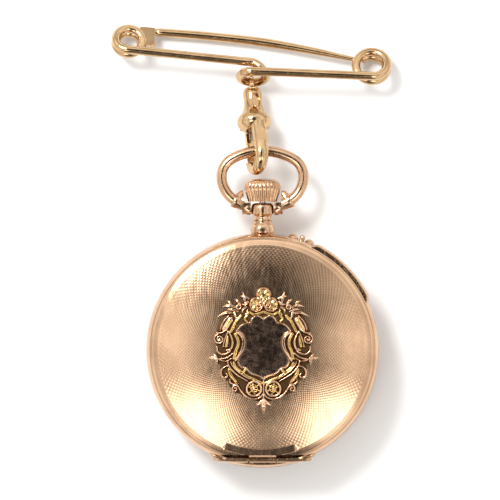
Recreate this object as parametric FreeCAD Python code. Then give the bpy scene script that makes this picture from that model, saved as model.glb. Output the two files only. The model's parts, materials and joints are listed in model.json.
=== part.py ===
"""Hunter-cased fob watch with a dog-clip swivel and a safety-pin brooch.

Millimetres. +Z points out of the front lid, +Y towards the crown, +X to the right when looking
at the front lid. The origin is the middle of the flat spot on the back lid, on which it lies.
"""
import FreeCAD, Part
import math
import os

V = FreeCAD.Vector
PI = math.pi

# ---- case -------------------------------------------------------------------------------------
CASE_RADIUS = 16.5
CASE_THICKNESS = 11.0
MIDDLE_Z = 5.5
LID_WALL = 0.4
DOME_RADIUS = 14.95
RIM_RADIUS = 16.35
FRONT_RIM_TOP = 9.35
BACK_RIM_BOTTOM = 1.25
BAND_BOTTOM = 3.2
BAND_TOP = 7.8
BAND_CORNER_RADIUS = 16.1
LID_GAP = 0.1
MOVEMENT_SPACE = 13.55
BEZEL_SEAT_RADIUS = 14.45
BEZEL_SEAT_Z = 7.4
CUVETTE_SEAT_RADIUS = 14.2
CUVETTE_SEAT_Z = 3.9
REST_SINK = 0.03

HINGE_Y = -15.4
FRONT_HINGE_Z = 7.9
BACK_HINGE_Z = 3.1
KNUCKLE_RADIUS = 0.5
HINGE_PIN_RADIUS = 0.2
HINGE_PIN_CLEARANCE = 0.04
HINGE_HALF_LENGTH = 7.0
MIDDLE_KNUCKLE_HALF = 1.98
KNUCKLE_GAP = 0.08
CUVETTE_HINGE_Y = -13.72
CUVETTE_HINGE_Z = 3.45
CUVETTE_BORE = 0.14
KNUCKLE_ROOM = 0.12
CUVETTE_KNUCKLE_RADIUS = 0.3

# ---- pendant, crown and setting pin -------------------------------------------------------------
STEM_RADIUS = 0.45
BOW_PIVOT_Y = 19.75
CROWN_BOTTOM_Y = 21.0
CROWN_TOP_Y = 24.3
CROWN_RADIUS = 2.6
CROWN_FLUTES = 24
BOW_WIRE = 0.78
BOW_HALF_WIDTH = 5.8
BOW_WIDEST_Y = 24.6
BOW_TOP_Y = 28.2
SET_PIN_ANGLE = 90.0 - 19.65
SET_PIN_RADIUS = 0.38

# ---- clip -----------------------------------------------------------------------------------------
BOW_GRIP = 0.65
CLIP_DROP = 19.45
CLIP_LEAN = 3.6
CLIP_TURN = -21.8
EYE_REACH = 11.06
EYE_RADIUS = 1.08
EYE_WIRE = 0.33
HOOK_BEND = 2.1
HOOK_WIRE = 0.8

# ---- brooch ---------------------------------------------------------------------------------------
BROOCH_TILT = 30.0
BROOCH_HEADING = 5.81
BROOCH_ANCHOR = V(-1.35, 39.5, 5.3)
PIN_WIRE = 0.62
LOOP_RADIUS = 1.8
LOOP_LEAN = 65.0
RING_STEP = 1.0
LEFT_COIL_RADIUS = 1.9
RIGHT_COIL_RADIUS = 2.2
NEEDLE_DEPTH = -1.6

# ---- movement -------------------------------------------------------------------------------------
PLATE_RADIUS = 13.4
PLATE_BACK = 4.6
PLATE_FRONT = 6.3
BRIDGE_OUT = 2.02
BRIDGE_IN = 2.8
BRIDGE_RADIUS = 12.9
BRIDGE_SCREW_END = 5.0
DIAL_BACK = 7.1
DIAL_FRONT = 7.4
PIVOT_RADIUS = 0.1
JEWEL_RADIUS = 0.42
JEWEL_HOLE = 0.14
JEWEL_SEAT = 0.43
ARBOR_RADIUS = 0.2
TRAIN_MODULE = 0.1
FOURTH_MODULE = 0.085
BARREL_MODULE = 0.13
TIP_HEIGHT = 0.9
ROOT_DEPTH = 1.2
TOOTH_TIP_SHARE = 0.1
TOOTH_ROOT_SHARE = 0.24


def at_angle(radius, degrees, centre=(0.0, 0.0)):
    angle = math.radians(degrees)
    return (centre[0] + radius * math.cos(angle), centre[1] + radius * math.sin(angle))


def direction(start, end):
    return math.atan2(end[1] - start[1], end[0] - start[0])


BARREL_TEETH = 80
CENTRE_PINION = 10
CENTRE_TEETH = 80
THIRD_PINION = 10
THIRD_TEETH = 75
FOURTH_PINION = 10
FOURTH_TEETH = 80
ESCAPE_PINION = 8
ESCAPE_TEETH = 15
CENTRE = (0.0, 0.0)
BARREL = at_angle(BARREL_MODULE * (BARREL_TEETH + CENTRE_PINION) / 2, 145.0)
THIRD = at_angle(TRAIN_MODULE * (CENTRE_TEETH + THIRD_PINION) / 2, -60.0)
FOURTH = at_angle(TRAIN_MODULE * (THIRD_TEETH + FOURTH_PINION) / 2, -12.2, THIRD)
ESCAPE = at_angle(FOURTH_MODULE * (FOURTH_TEETH + ESCAPE_PINION) / 2, 63.5, FOURTH)
BALANCE = (6.6, 5.5)
ESCAPE_RADIUS = 2.1
ESCAPE_TO_BALANCE = math.degrees(direction(ESCAPE, BALANCE))
PALLET = at_angle(ESCAPE_RADIUS / math.cos(PI / 6), ESCAPE_TO_BALANCE, ESCAPE)
BALANCE_RADIUS = 3.6
CROWN_WHEEL = (0.0, 9.2)
WINDING_TEETH = 12
CROWN_FACE_TEETH = 15
CROWN_GEAR_TEETH = 36
RATCHET_TEETH = 70
CROWN_FACE_RADIUS = 1.6
SIDE_PLATE_Z = (1.68, 1.98)
MINUTE_WHEEL = at_angle(2.88, 100.0)
MOTION_MODULE = 0.12
HOUR_MODULE = 0.1152


# ---- small helpers ----------------------------------------------------------------------------------
def cylinder(radius, z0, z1, place=CENTRE):
    return Part.makeCylinder(radius, z1 - z0, V(place[0], place[1], z0))


def ring(outer, inner, z0, z1, place=CENTRE):
    return cylinder(outer, z0, z1, place).cut(cylinder(inner, z0 - 1.0, z1 + 1.0, place))


def rod(radius, start, end):
    along = end - start
    return Part.makeCylinder(radius, along.Length, start, along)


def block(x0, x1, y0, y1, z0, z1):
    return Part.makeBox(x1 - x0, y1 - y0, z1 - z0, V(x0, y0, z0))


def joined(shapes):
    whole = shapes[0]
    for shape in shapes[1:]:
        whole = whole.fuse(shape)
    return whole


def outline(start, *moves):
    """A closed wire in the XZ half plane; a move is a point, or an arc's (middle, end)."""
    edges = []
    here = start
    for move in moves + (start,):
        if isinstance(move[0], tuple):
            middle, end = move
            arc = Part.Arc(V(here[0], 0, here[1]), V(middle[0], 0, middle[1]), V(end[0], 0, end[1]))
            edges.append(arc.toShape())
        else:
            end = move
            if math.dist(here, end) > 1e-6:
                edges.append(Part.makeLine(V(here[0], 0, here[1]), V(end[0], 0, end[1])))
        here = end
    return Part.Wire(edges)


def dome(rim_radius, rim_z, top_z):
    """Middle point of the arc from an apex to a rim, on a sphere centred on the Z axis."""
    rise = rim_z - top_z
    radius = (rim_radius ** 2 + rise ** 2) / (2 * abs(rise))
    half = rim_radius / 2
    drop = radius - math.sqrt(radius ** 2 - half ** 2)
    return (half, top_z + math.copysign(drop, rise))


def lathe(start, *moves):
    """A solid turned about the Z axis from a half outline of (radius, height) points."""
    face = Part.Face(outline(start, *moves))
    return face.revolve(V(0, 0, 0), V(0, 0, 1), 360)


def turned_on_y(shape, y=0.0, z=MIDDLE_Z):
    """Lay a shape that was turned about Z down, so that its axis runs along +Y."""
    shape.rotate(V(0, 0, 0), V(1, 0, 0), -90)
    shape.translate(V(0, y, z))
    return shape


def sector(outer, inner, z0, z1, first, last):
    """Part of a flat ring between two angles in degrees."""
    whole = Part.makeCylinder(outer, z1 - z0, V(0, 0, z0), V(0, 0, 1), last - first)
    whole.rotate(V(0, 0, 0), V(0, 0, 1), first)
    return whole.cut(cylinder(inner, z0 - 1.0, z1 + 1.0))


def pipe(radius, edges):
    """A round wire along joined lines and arcs."""
    path = Part.Wire(edges)
    first = path.Edges[0]
    start = first.valueAt(first.FirstParameter)
    heading = first.tangentAt(first.FirstParameter)
    section = Part.Wire(Part.makeCircle(radius, start, heading))
    return path.makePipeShell([section], True, True)


def torus(ring_radius, wire_radius, centre, axis):
    return Part.makeTorus(ring_radius, wire_radius, centre, axis)


def gear_blank(teeth, module, z0, z1, phase=0.0):
    """A plain gear disc with straight-sided teeth; phase is the angle of one tooth."""
    tip = module * (teeth / 2 + TIP_HEIGHT)
    root = module * (teeth / 2 - ROOT_DEPTH)
    step = 2 * PI / teeth
    corners = ((-TOOTH_ROOT_SHARE, root), (-TOOTH_TIP_SHARE, tip), (TOOTH_TIP_SHARE, tip),
               (TOOTH_ROOT_SHARE, root))
    points = []
    for tooth in range(teeth):
        for share, radius in corners:
            angle = phase + (tooth + share) * step
            points.append(V(radius * math.cos(angle), radius * math.sin(angle), z0))
    points.append(points[0])
    return Part.Face(Part.makePolygon(points)).extrude(V(0, 0, z1 - z0))


def meshed_phase(phase, teeth, other_teeth, heading):
    """Phase of the gear that meshes, in direction heading, with a gear of the given phase."""
    return heading + PI - (phase - heading) * teeth / other_teeth - PI / other_teeth


def spoked_gear(teeth, module, z0, z1, phase, rim=0.45, arms=5, hub=0.7, arm_width=0.32):
    """A crossed-out train wheel."""
    inner = module * (teeth / 2 - ROOT_DEPTH) - rim
    parts = [gear_blank(teeth, module, z0, z1, phase).cut(cylinder(inner, z0 - 1, z1 + 1))]
    parts.append(cylinder(hub, z0, z1))
    for arm in range(arms):
        spoke = block(0.0, inner + rim / 2, -arm_width / 2, arm_width / 2, z0, z1)
        spoke.rotate(V(0, 0, 0), V(0, 0, 1), arm * 360.0 / arms)
        parts.append(spoke)
    return joined(parts)


def moved(shape, place):
    shape.translate(V(place[0], place[1], 0.0))
    return shape


def spiral_strip(inner, outer, turns, width, z0, z1, steps_per_turn=20):
    """A flat spiral spring: a ribbon of the given width wound from inner to outer radius."""
    count = int(turns * steps_per_turn)
    near = []
    far = []
    for step in range(count + 1):
        share = step / count
        angle = 2 * PI * turns * share
        radius = inner + (outer - inner) * share
        near.append(V((radius - width / 2) * math.cos(angle), (radius - width / 2) * math.sin(angle), z0))
        far.append(V((radius + width / 2) * math.cos(angle), (radius + width / 2) * math.sin(angle), z0))
    points = near + far[::-1] + [near[0]]
    return Part.Face(Part.makePolygon(points)).extrude(V(0, 0, z1 - z0))


# ---- case -------------------------------------------------------------------------------------------
def knuckle(x0, x1, y, z, radius, bore):
    barrel = rod(radius, V(x0, y, z), V(x1, y, z))
    return barrel.cut(rod(bore, V(x0 - 1, y, z), V(x1 + 1, y, z)))


def outer_knuckles(z):
    bore = HINGE_PIN_RADIUS + HINGE_PIN_CLEARANCE
    left = knuckle(-HINGE_HALF_LENGTH, -MIDDLE_KNUCKLE_HALF, HINGE_Y, z, KNUCKLE_RADIUS, bore)
    right = knuckle(MIDDLE_KNUCKLE_HALF, HINGE_HALF_LENGTH, HINGE_Y, z, KNUCKLE_RADIUS, bore)
    return [left, right]


def middle_knuckle(z):
    half = MIDDLE_KNUCKLE_HALF - KNUCKLE_GAP
    bore = HINGE_PIN_RADIUS + HINGE_PIN_CLEARANCE
    return knuckle(-half, half, HINGE_Y, z, KNUCKLE_RADIUS, bore)


def hinge_line(radius, half_length, y, z):
    """A rod across the case on a hinge's axis."""
    return rod(radius, V(-half_length, y, z), V(half_length, y, z))


def cuvette_knuckle(x0, x1):
    return knuckle(x0, x1, CUVETTE_HINGE_Y, CUVETTE_HINGE_Z, CUVETTE_KNUCKLE_RADIUS, CUVETTE_BORE)


def stem_hole(radius, y0, y1):
    return rod(radius, V(0, y0, MIDDLE_Z), V(0, y1, MIDDLE_Z))


def set_pin_rod(radius, near, far):
    start = at_angle(near, SET_PIN_ANGLE)
    end = at_angle(far, SET_PIN_ANGLE)
    return rod(radius, V(start[0], start[1], MIDDLE_Z), V(end[0], end[1], MIDDLE_Z))


def case_band():
    """The middle of the case, with its hinge knuckles, thumb lip and the seats of its neighbours."""
    body = lathe((MOVEMENT_SPACE, CUVETTE_SEAT_Z), (CUVETTE_SEAT_RADIUS, CUVETTE_SEAT_Z),
                 (CUVETTE_SEAT_RADIUS, BAND_BOTTOM), (BAND_CORNER_RADIUS, BAND_BOTTOM),
                 ((CASE_RADIUS, MIDDLE_Z), (BAND_CORNER_RADIUS, BAND_TOP)),
                 (BEZEL_SEAT_RADIUS, BAND_TOP), (BEZEL_SEAT_RADIUS, BEZEL_SEAT_Z),
                 (MOVEMENT_SPACE, BEZEL_SEAT_Z))
    lip = sector(16.85, 15.5, 6.9, BAND_TOP, 90 - 65.5, 90 - 25.5)
    heel = block(-HINGE_HALF_LENGTH, HINGE_HALF_LENGTH, -16.75, -14.9, BAND_BOTTOM, BAND_TOP)
    heel = heel.common(Part.makeCylinder(18.5, 12.0, V(0, 1.75, 0)))
    body = joined([body, lip, heel])
    for z in (FRONT_HINGE_Z, BACK_HINGE_Z):
        room = hinge_line(KNUCKLE_RADIUS + KNUCKLE_ROOM, MIDDLE_KNUCKLE_HALF, HINGE_Y, z)
        body = joined([body] + outer_knuckles(z)).cut(room)
        bore = HINGE_PIN_RADIUS + HINGE_PIN_CLEARANCE
        body = body.cut(hinge_line(bore, HINGE_HALF_LENGTH + 1, HINGE_Y, z))
    for x0, x1 in ((-4.0, -2.1), (2.1, 4.0)):
        body = body.fuse(cuvette_knuckle(x0, x1))
    body = body.cut(hinge_line(CUVETTE_BORE, 4.2, CUVETTE_HINGE_Y, CUVETTE_HINGE_Z))
    for place in CASE_SCREW_PLACES:
        body = body.cut(cylinder(0.68, CUVETTE_SEAT_Z - 0.1, 4.6, place))
    body = body.cut(stem_hole(0.9, 12.0, 18.0))
    body = body.cut(set_pin_rod(SET_PIN_RADIUS + 0.06, 12.0, 18.0))
    return body


def lid_cut():
    """Everything of a lid that would stand over the hinge."""
    return block(-20, 20, -20, HINGE_Y + KNUCKLE_RADIUS + 0.15, -2, 14)


def hinge_leaf(z_low, z_high):
    half = MIDDLE_KNUCKLE_HALF - KNUCKLE_GAP
    return block(-half, half, HINGE_Y, HINGE_Y + 0.95, z_low, z_high)


def front_lid():
    dome_mid = dome(DOME_RADIUS, FRONT_RIM_TOP, CASE_THICKNESS)
    inner_mid = dome(DOME_RADIUS, FRONT_RIM_TOP - LID_WALL, CASE_THICKNESS - LID_WALL)
    low = BAND_TOP + LID_GAP
    shell = lathe((0, CASE_THICKNESS), (dome_mid, (DOME_RADIUS, FRONT_RIM_TOP)),
                  (DOME_RADIUS + 0.05, FRONT_RIM_TOP + 0.06),
                  ((16.05, 8.95), (RIM_RADIUS, low)), (RIM_RADIUS - 0.5, low),
                  ((15.7, 8.7), (DOME_RADIUS, FRONT_RIM_TOP - LID_WALL)),
                  (inner_mid, (0, CASE_THICKNESS - LID_WALL)))
    shell = shell.cut(lid_cut())
    shell = shell.cut(sector(18.0, 16.0, low - 1, low + 0.75, 90 - 65.5, 90 - 25.5))
    leaf = hinge_leaf(FRONT_HINGE_Z - 0.1, FRONT_HINGE_Z + 0.4)
    leaf = leaf.fuse(block(-1.9, 1.9, HINGE_Y + 0.55, HINGE_Y + 0.95, FRONT_HINGE_Z + 0.1, 9.15))
    knuckle_hole = hinge_line(HINGE_PIN_RADIUS + HINGE_PIN_CLEARANCE, 3.0, HINGE_Y, FRONT_HINGE_Z)
    return joined([shell, leaf, middle_knuckle(FRONT_HINGE_Z)]).cut(knuckle_hole)


def back_lid():
    top = BAND_BOTTOM - LID_GAP
    dome_mid = dome(DOME_RADIUS, BACK_RIM_BOTTOM, -REST_SINK)
    inner_mid = dome(DOME_RADIUS, BACK_RIM_BOTTOM + LID_WALL, LID_WALL - REST_SINK)
    shell = lathe((0, -REST_SINK), (dome_mid, (DOME_RADIUS, BACK_RIM_BOTTOM)),
                  ((16.05, 1.85), (RIM_RADIUS, top)), (RIM_RADIUS - 0.5, top),
                  ((15.7, 2.15), (DOME_RADIUS, BACK_RIM_BOTTOM + LID_WALL)),
                  (inner_mid, (0, LID_WALL - REST_SINK)))
    shell = shell.cut(lid_cut()).cut(block(-9, 9, -9, 9, -1, 0))
    leaf = hinge_leaf(BACK_HINGE_Z - 0.4, BACK_HINGE_Z + 0.1)
    leaf = leaf.fuse(block(-1.9, 1.9, HINGE_Y + 0.55, HINGE_Y + 1.1, 1.5, BACK_HINGE_Z - 0.1))
    knuckle_hole = hinge_line(HINGE_PIN_RADIUS + HINGE_PIN_CLEARANCE, 3.0, HINGE_Y, BACK_HINGE_Z)
    return joined([shell, leaf, middle_knuckle(BACK_HINGE_Z)]).cut(knuckle_hole)


def cuvette():
    """The thin inner dust cover, hinged in the back of the band."""
    dish = lathe((0, 0.65), (dome(13.2, 1.45, 0.65), (13.2, 1.45)), (13.3, 3.3), (13.05, 3.3),
                 (12.95, 1.75), (dome(12.95, 1.75, 0.9), (0, 0.9)))
    barrel = cuvette_knuckle(-2.0, 2.0)
    leaf = block(-2.0, 2.0, -13.6, -13.1, CUVETTE_HINGE_Z - 0.55, CUVETTE_HINGE_Z - 0.15)
    hole = hinge_line(CUVETTE_BORE, 3.0, CUVETTE_HINGE_Y, CUVETTE_HINGE_Z)
    return joined([dish, barrel, leaf]).cut(hole)


def bezel():
    outer = BEZEL_SEAT_RADIUS - 0.1
    low = BEZEL_SEAT_Z + 0.05
    return lathe((13.25, low), (outer, low), (outer, 8.1), ((14.1, 8.45), (13.6, 8.5)), (13.3, 8.35),
                 (13.3, 8.25), (13.6, 8.2), (13.6, 7.72), (13.25, 7.72))


def crystal():
    edge = 13.55
    outer = dome(edge, 8.15, 9.3)
    inner = dome(edge, 7.76, 8.8)
    return lathe((0, 9.3), (outer, (edge, 8.15)), (edge, 7.76), (inner, (0, 8.8)))


def lid_hinge_pins():
    pins = [hinge_line(HINGE_PIN_RADIUS, 6.9, HINGE_Y, z) for z in (FRONT_HINGE_Z, BACK_HINGE_Z)]
    pins.append(hinge_line(0.11, 3.9, CUVETTE_HINGE_Y, CUVETTE_HINGE_Z))
    return Part.makeCompound(pins)


WREATH_BOSSES = ((6.0, 1.7, 1.3), (5.4, -3.1, 1.35), (3.4, 6.1, 1.2), (4.9, 3.7, 1.0), (3.9, -5.4, 1.0),
                 (7.0, -1.1, 0.75), (5.0, 1.2, 1.0), (4.7, -1.0, 1.1), (1.35, -5.5, 1.3))


def cartouche():
    """Raised shield with its wreath, applied to the front lid."""
    shield_outline = [(0.0, -3.9), (2.1, -2.55), (3.35, -2.2), (3.45, -1.0), (2.6, 0.6), (3.65, 2.65),
                      (2.65, 3.8), (0.9, 4.9), (0.0, 4.55)]
    left = [(-x, y) for x, y in shield_outline[-2:0:-1]]
    corners = [V(x, y, 10.3) for x, y in shield_outline + left]
    plate = Part.Face(Part.makePolygon(corners + [corners[0]])).extrude(V(0, 0, 1.02))
    parts = [plate]
    for side in (-1, 1):
        for x, y, radius in WREATH_BOSSES:
            parts.append(cylinder(radius, 10.0, 11.25, (side * x, y)))
    parts.append(cylinder(1.1, 10.3, 11.35, (0.0, 8.0)))
    parts.append(cylinder(1.2, 10.3, 11.35, (-1.15, 6.4)))
    parts.append(cylinder(1.2, 10.3, 11.35, (1.15, 6.4)))
    parts.append(cylinder(0.8, 10.3, 11.25, (0.0, -7.5)))
    parts.append(ring(7.6, 3.6, 10.2, 11.12))
    lid_ball = Part.makeSphere(68.0, V(0, 0, CASE_THICKNESS + 0.005 - 68.0))
    return joined(parts).cut(lid_ball)


def pendant():
    """The neck of the case, a turned tube whose head takes the bow."""
    tube = lathe((0.62, 15.9), (1.55, 15.9), ((1.68, 17.1), (1.3, 18.1)), (1.36, 18.25), (1.2, 18.4),
                 ((1.25, 18.9), (1.6, 19.3)), (1.6, 20.2), ((1.5, 20.6), (1.25, 20.8)), (0.62, 20.8))
    tube = turned_on_y(tube)
    tube = tube.cut(Part.makeCylinder(CASE_RADIUS + 0.02, 20.0, V(0, 0, 0)))
    for side in (-1, 1):
        flat = block(min(side * 1.45, side * 3.0), max(side * 1.45, side * 3.0), 18.7, 21.0, 3.0, 8.0)
        hole = rod(0.3, V(side * 0.6, BOW_PIVOT_Y, MIDDLE_Z), V(side * 3.0, BOW_PIVOT_Y, MIDDLE_Z))
        tube = tube.cut(flat).cut(hole)
    return tube


def bow_arcs(side):
    """Half of the bow's centre line: a flat crown arc, a shoulder arc and a lower arc."""
    shoulder = 2.8
    centre_x = BOW_HALF_WIDTH - shoulder
    rise = BOW_TOP_Y - BOW_WIDEST_Y
    crown_arc = (centre_x ** 2 + rise ** 2 - shoulder ** 2) / (2 * (rise - shoulder))
    crown_centre_y = BOW_TOP_Y - crown_arc
    meet = math.atan2(BOW_WIDEST_Y - crown_centre_y, centre_x)
    lower_arc = 4.06
    end_angle = math.radians(-59.5)

    def point(middle_x, middle_y, radius, angle):
        x = side * (middle_x + radius * math.cos(angle))
        return V(x, middle_y + radius * math.sin(angle), MIDDLE_Z)

    top = point(0, crown_centre_y, crown_arc, PI / 2)
    top_mid = point(0, crown_centre_y, crown_arc, (PI / 2 + meet) / 2)
    join = point(0, crown_centre_y, crown_arc, meet)
    shoulder_mid = point(centre_x, BOW_WIDEST_Y, shoulder, meet / 2)
    widest = point(centre_x, BOW_WIDEST_Y, shoulder, 0)
    lower_x = BOW_HALF_WIDTH - lower_arc
    lower_mid = point(lower_x, BOW_WIDEST_Y, lower_arc, end_angle / 2)
    foot = point(lower_x, BOW_WIDEST_Y, lower_arc, end_angle)
    return [Part.Arc(top, top_mid, join).toShape(), Part.Arc(join, shoulder_mid, widest).toShape(),
            Part.Arc(widest, lower_mid, foot).toShape()], foot


def bow():
    parts = []
    for side in (-1, 1):
        edges, foot = bow_arcs(side)
        parts.append(pipe(BOW_WIRE, edges))
        ear = rod(0.95, V(side * 1.6, BOW_PIVOT_Y, MIDDLE_Z), V(side * 2.7, BOW_PIVOT_Y, MIDDLE_Z))
        lug_end = V(side * 1.9, BOW_PIVOT_Y + 0.1, MIDDLE_Z)
        along = lug_end - foot
        lug = Part.makeCone(1.0, 0.85, along.Length, foot, along)
        collar_start = foot - along.normalize() * 0.2
        collar = Part.makeCone(1.15, 0.9, 0.9, collar_start, along)
        horn = Part.makeCone(0.75, 0.5, 1.3, V(side * 3.3, 21.5, MIDDLE_Z), V(-side * 0.35, 1.0, 0))
        parts += [ear, lug, collar, horn]
    whole = joined(parts)
    whole = whole.cut(rod(0.3, V(-3.2, BOW_PIVOT_Y, MIDDLE_Z), V(3.2, BOW_PIVOT_Y, MIDDLE_Z)))
    whole = whole.cut(rod(0.62, V(-5.0, BOW_PIVOT_Y, MIDDLE_Z), V(-2.55, BOW_PIVOT_Y, MIDDLE_Z)))
    whole = whole.cut(rod(0.62, V(2.55, BOW_PIVOT_Y, MIDDLE_Z), V(5.0, BOW_PIVOT_Y, MIDDLE_Z)))
    whole = whole.cut(block(-1.58, 1.58, 17.0, 21.4, 2.0, 9.0))
    crown_room = rod(CROWN_RADIUS + 0.12, V(0, CROWN_BOTTOM_Y - 0.1, MIDDLE_Z), V(0, CROWN_TOP_Y, MIDDLE_Z))
    return whole.cut(crown_room)


def bow_screws():
    screws = []
    for side in (-1, 1):
        shank = rod(0.25, V(side * 0.75, BOW_PIVOT_Y, MIDDLE_Z), V(side * 2.57, BOW_PIVOT_Y, MIDDLE_Z))
        head = rod(0.52, V(side * 2.57, BOW_PIVOT_Y, MIDDLE_Z), V(side * 2.85, BOW_PIVOT_Y, MIDDLE_Z))
        slot = block(min(side * 2.75, side * 3.0), max(side * 2.75, side * 3.0), BOW_PIVOT_Y - 0.6,
                     BOW_PIVOT_Y + 0.6, MIDDLE_Z - 0.07, MIDDLE_Z + 0.07)
        screws.append(shank.fuse(head).cut(slot))
    return Part.makeCompound(screws)


def crown():
    body = lathe((0, CROWN_BOTTOM_Y), (2.02, CROWN_BOTTOM_Y), (CROWN_RADIUS, 22.85),
                 ((2.25, 23.9), (1.2, 24.2)), (0, CROWN_TOP_Y))
    for flute in range(CROWN_FLUTES):
        angle = 360.0 * flute / CROWN_FLUTES
        foot = at_angle(2.12, angle)
        head = at_angle(2.68, angle)
        groove = rod(0.19, V(foot[0], foot[1], 20.8), V(head[0], head[1], 23.4))
        body = body.cut(groove)
    body = body.cut(cylinder(STEM_RADIUS, 20.0, 22.6))
    return turned_on_y(body)


def winding_stem():
    stem = rod(STEM_RADIUS, V(0, 10.2, MIDDLE_Z), V(0, 22.6, MIDDLE_Z))
    square = block(-0.25, 0.25, 8.0, 10.2, MIDDLE_Z - 0.25, MIDDLE_Z + 0.25)
    collar = rod(0.58, V(0, 16.6, MIDDLE_Z), V(0, 17.0, MIDDLE_Z))
    return joined([stem, square, collar])


def winding_pinion():
    blank = gear_blank(WINDING_TEETH, 2 * 1.22 / WINDING_TEETH, 10.35, 11.25)
    sleeve = cylinder(0.75, 9.9, 10.35)
    pinion = blank.fuse(sleeve).cut(cylinder(STEM_RADIUS, 9.0, 12.0))
    return turned_on_y(pinion)


def set_pin():
    shank = set_pin_rod(SET_PIN_RADIUS, 12.95, 16.9)
    tip = Part.makeSphere(SET_PIN_RADIUS, V(*at_angle(16.9, SET_PIN_ANGLE), MIDDLE_Z))
    return shank.fuse(tip)


def pin_guards():
    """The two olive bosses that stand either side of the setting pin."""
    band = lathe((0, 0), (BAND_CORNER_RADIUS, 0), (BAND_CORNER_RADIUS, BAND_BOTTOM),
                 ((CASE_RADIUS + 0.01, MIDDLE_Z), (BAND_CORNER_RADIUS, BAND_TOP)), (0, BAND_TOP))
    guards = []
    for angle in (90.0 - 15.3, 90.0 - 23.9):
        place = at_angle(16.25, angle)
        olive = Part.makeSphere(0.8, V(place[0], place[1], MIDDLE_Z))
        guards.append(olive.cut(band))
    return Part.makeCompound(guards)


def lock_spring():
    """Curved case spring whose nose holds the front lid shut."""
    leaf = sector(13.5, 13.35, 6.45, 6.75, 60, 118)
    nose = sector(13.5, 13.1, 6.45, 7.0, 108, 118)
    return leaf.fuse(nose)


def lift_spring():
    """Curved case spring that throws the front lid open."""
    leaf = sector(13.5, 13.35, 6.45, 6.75, 195, 255)
    nose = sector(13.5, 13.1, 6.45, 7.0, 248, 255)
    return leaf.fuse(nose)


def screw(head_radius, head_height, shank_radius, top, bottom, place, slot_angle):
    """A cheese-head screw seen from the back: its head starts at top and its shank ends at bottom."""
    head = cylinder(head_radius, top, top + head_height)
    shank = cylinder(shank_radius, top + head_height, bottom)
    slot = block(-head_radius - 0.1, head_radius + 0.1, -0.06, 0.06, top - 0.1, top + head_height * 0.45)
    slot.rotate(V(0, 0, 0), V(0, 0, 1), slot_angle)
    return moved(head.fuse(shank).cut(slot), place)


CASE_SCREW_PLACES = (at_angle(13.2, 210.0), at_angle(13.2, -8.0))
BRIDGE_SCREW_PLACES = [at_angle(12.3, angle) for angle in (112.0, 171.0, 205.0, 255.0, 300.0, 70.0)]


def case_screws():
    screws = [screw(0.6, 0.25, 0.25, 4.28, 5.6, place, 30.0) for place in CASE_SCREW_PLACES]
    return Part.makeCompound(screws)


def bridge_screws():
    screws = []
    for index, place in enumerate(BRIDGE_SCREW_PLACES):
        screws.append(screw(0.5, 0.3, 0.22, BRIDGE_OUT, BRIDGE_SCREW_END, place, 25.0 * index))
    return Part.makeCompound(screws)


def screw_room(body, places):
    for place in places:
        body = body.cut(cylinder(0.24, 0.0, 5.5, place))
        body = body.cut(cylinder(0.52, 0.0, BRIDGE_OUT + 0.3, place))
    return body


# ---- clip --------------------------------------------------------------------------------------------
def clip_placed(shape, turn=CLIP_TURN):
    """From the clip's own frame, whose axis is +Y from the middle of the hook's bend.

    The hook hangs on the bow's wire and the clip slopes down from there to the brooch.
    """
    shape.translate(V(0, -BOW_GRIP, 0))
    shape.rotate(V(0, 0, 0), V(0, 1, 0), -turn)
    shape.rotate(V(0, 0, 0), V(0, 0, 1), CLIP_LEAN)
    shape.rotate(V(0, 0, 0), V(1, 0, 0), -CLIP_DROP)
    shape.translate(V(-0.9, BOW_TOP_Y, MIDDLE_Z))
    return shape


def clip_body():
    """The swivel's hollow body with its bulb and the hook that grows out of it."""
    shell = lathe((1.05, 9.95), (1.18, 9.85), ((1.33, 9.3), (1.28, 8.6)), ((1.42, 7.0), (1.9, 6.0)),
                  ((2.45, 5.05), (1.95, 4.0)), (1.45, 3.72), (0.0, 3.72), (0.0, 8.0), (0.8, 8.0), (0.8, 8.75),
                  (0.54, 8.75), (0.54, 9.5))
    shell.rotate(V(0, 0, 0), V(1, 0, 0), -90)
    front = V(0, 0, HOOK_BEND)
    bend = Part.Arc(front, V(0, -HOOK_BEND, 0), V(0, 0, -HOOK_BEND)).toShape()
    limb = rod(HOOK_WIRE, V(0, 4.7, HOOK_BEND - 0.75), front)
    hook = joined([limb, Part.makeSphere(HOOK_WIRE, front), pipe(HOOK_WIRE, [bend])])
    hook = hook.cut(block(-2, 2, -0.6, 3.0, -4, -1.0))
    body = joined([shell, hook]).cut(oval_window())
    gate_room = block(-0.8, 0.8, 2.5, 4.95, -2.8, -0.9)
    pivot_room = rod(0.2, V(-3, 4.25, -1.55), V(3, 4.25, -1.55))
    return clip_placed(body.cut(gate_room).cut(pivot_room))


def oval_window():
    """The cutter of the shallow oval window in the front of the clip's body."""
    edge = Part.Ellipse(V(0, 0, 0), 1.1, 0.6).toShape()
    cutter = Part.Face(Part.Wire([edge])).extrude(V(0, 0, 2.0))
    cutter.rotate(V(0, 0, 0), V(0, 0, 1), 90)
    cutter.translate(V(0, 7.9, 1.12))
    return cutter


def clip_gate():
    """The flat leaf that closes the back of the hook."""
    leaf = block(-0.62, 0.62, -0.45, 4.3, -2.3, -1.85)
    root = rod(0.5, V(-0.62, 4.25, -1.75), V(0.62, 4.25, -1.75))
    gate = leaf.fuse(root).cut(rod(0.2, V(-3, 4.25, -1.55), V(3, 4.25, -1.55)))
    return clip_placed(gate)


def gate_rivet():
    return clip_placed(rod(0.16, V(-1.6, 4.25, -1.55), V(1.6, 4.25, -1.55)))


def gate_spring():
    leaf = block(-0.4, 0.4, 2.75, 4.75, -1.16, -1.06)
    return clip_placed(leaf)


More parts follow.
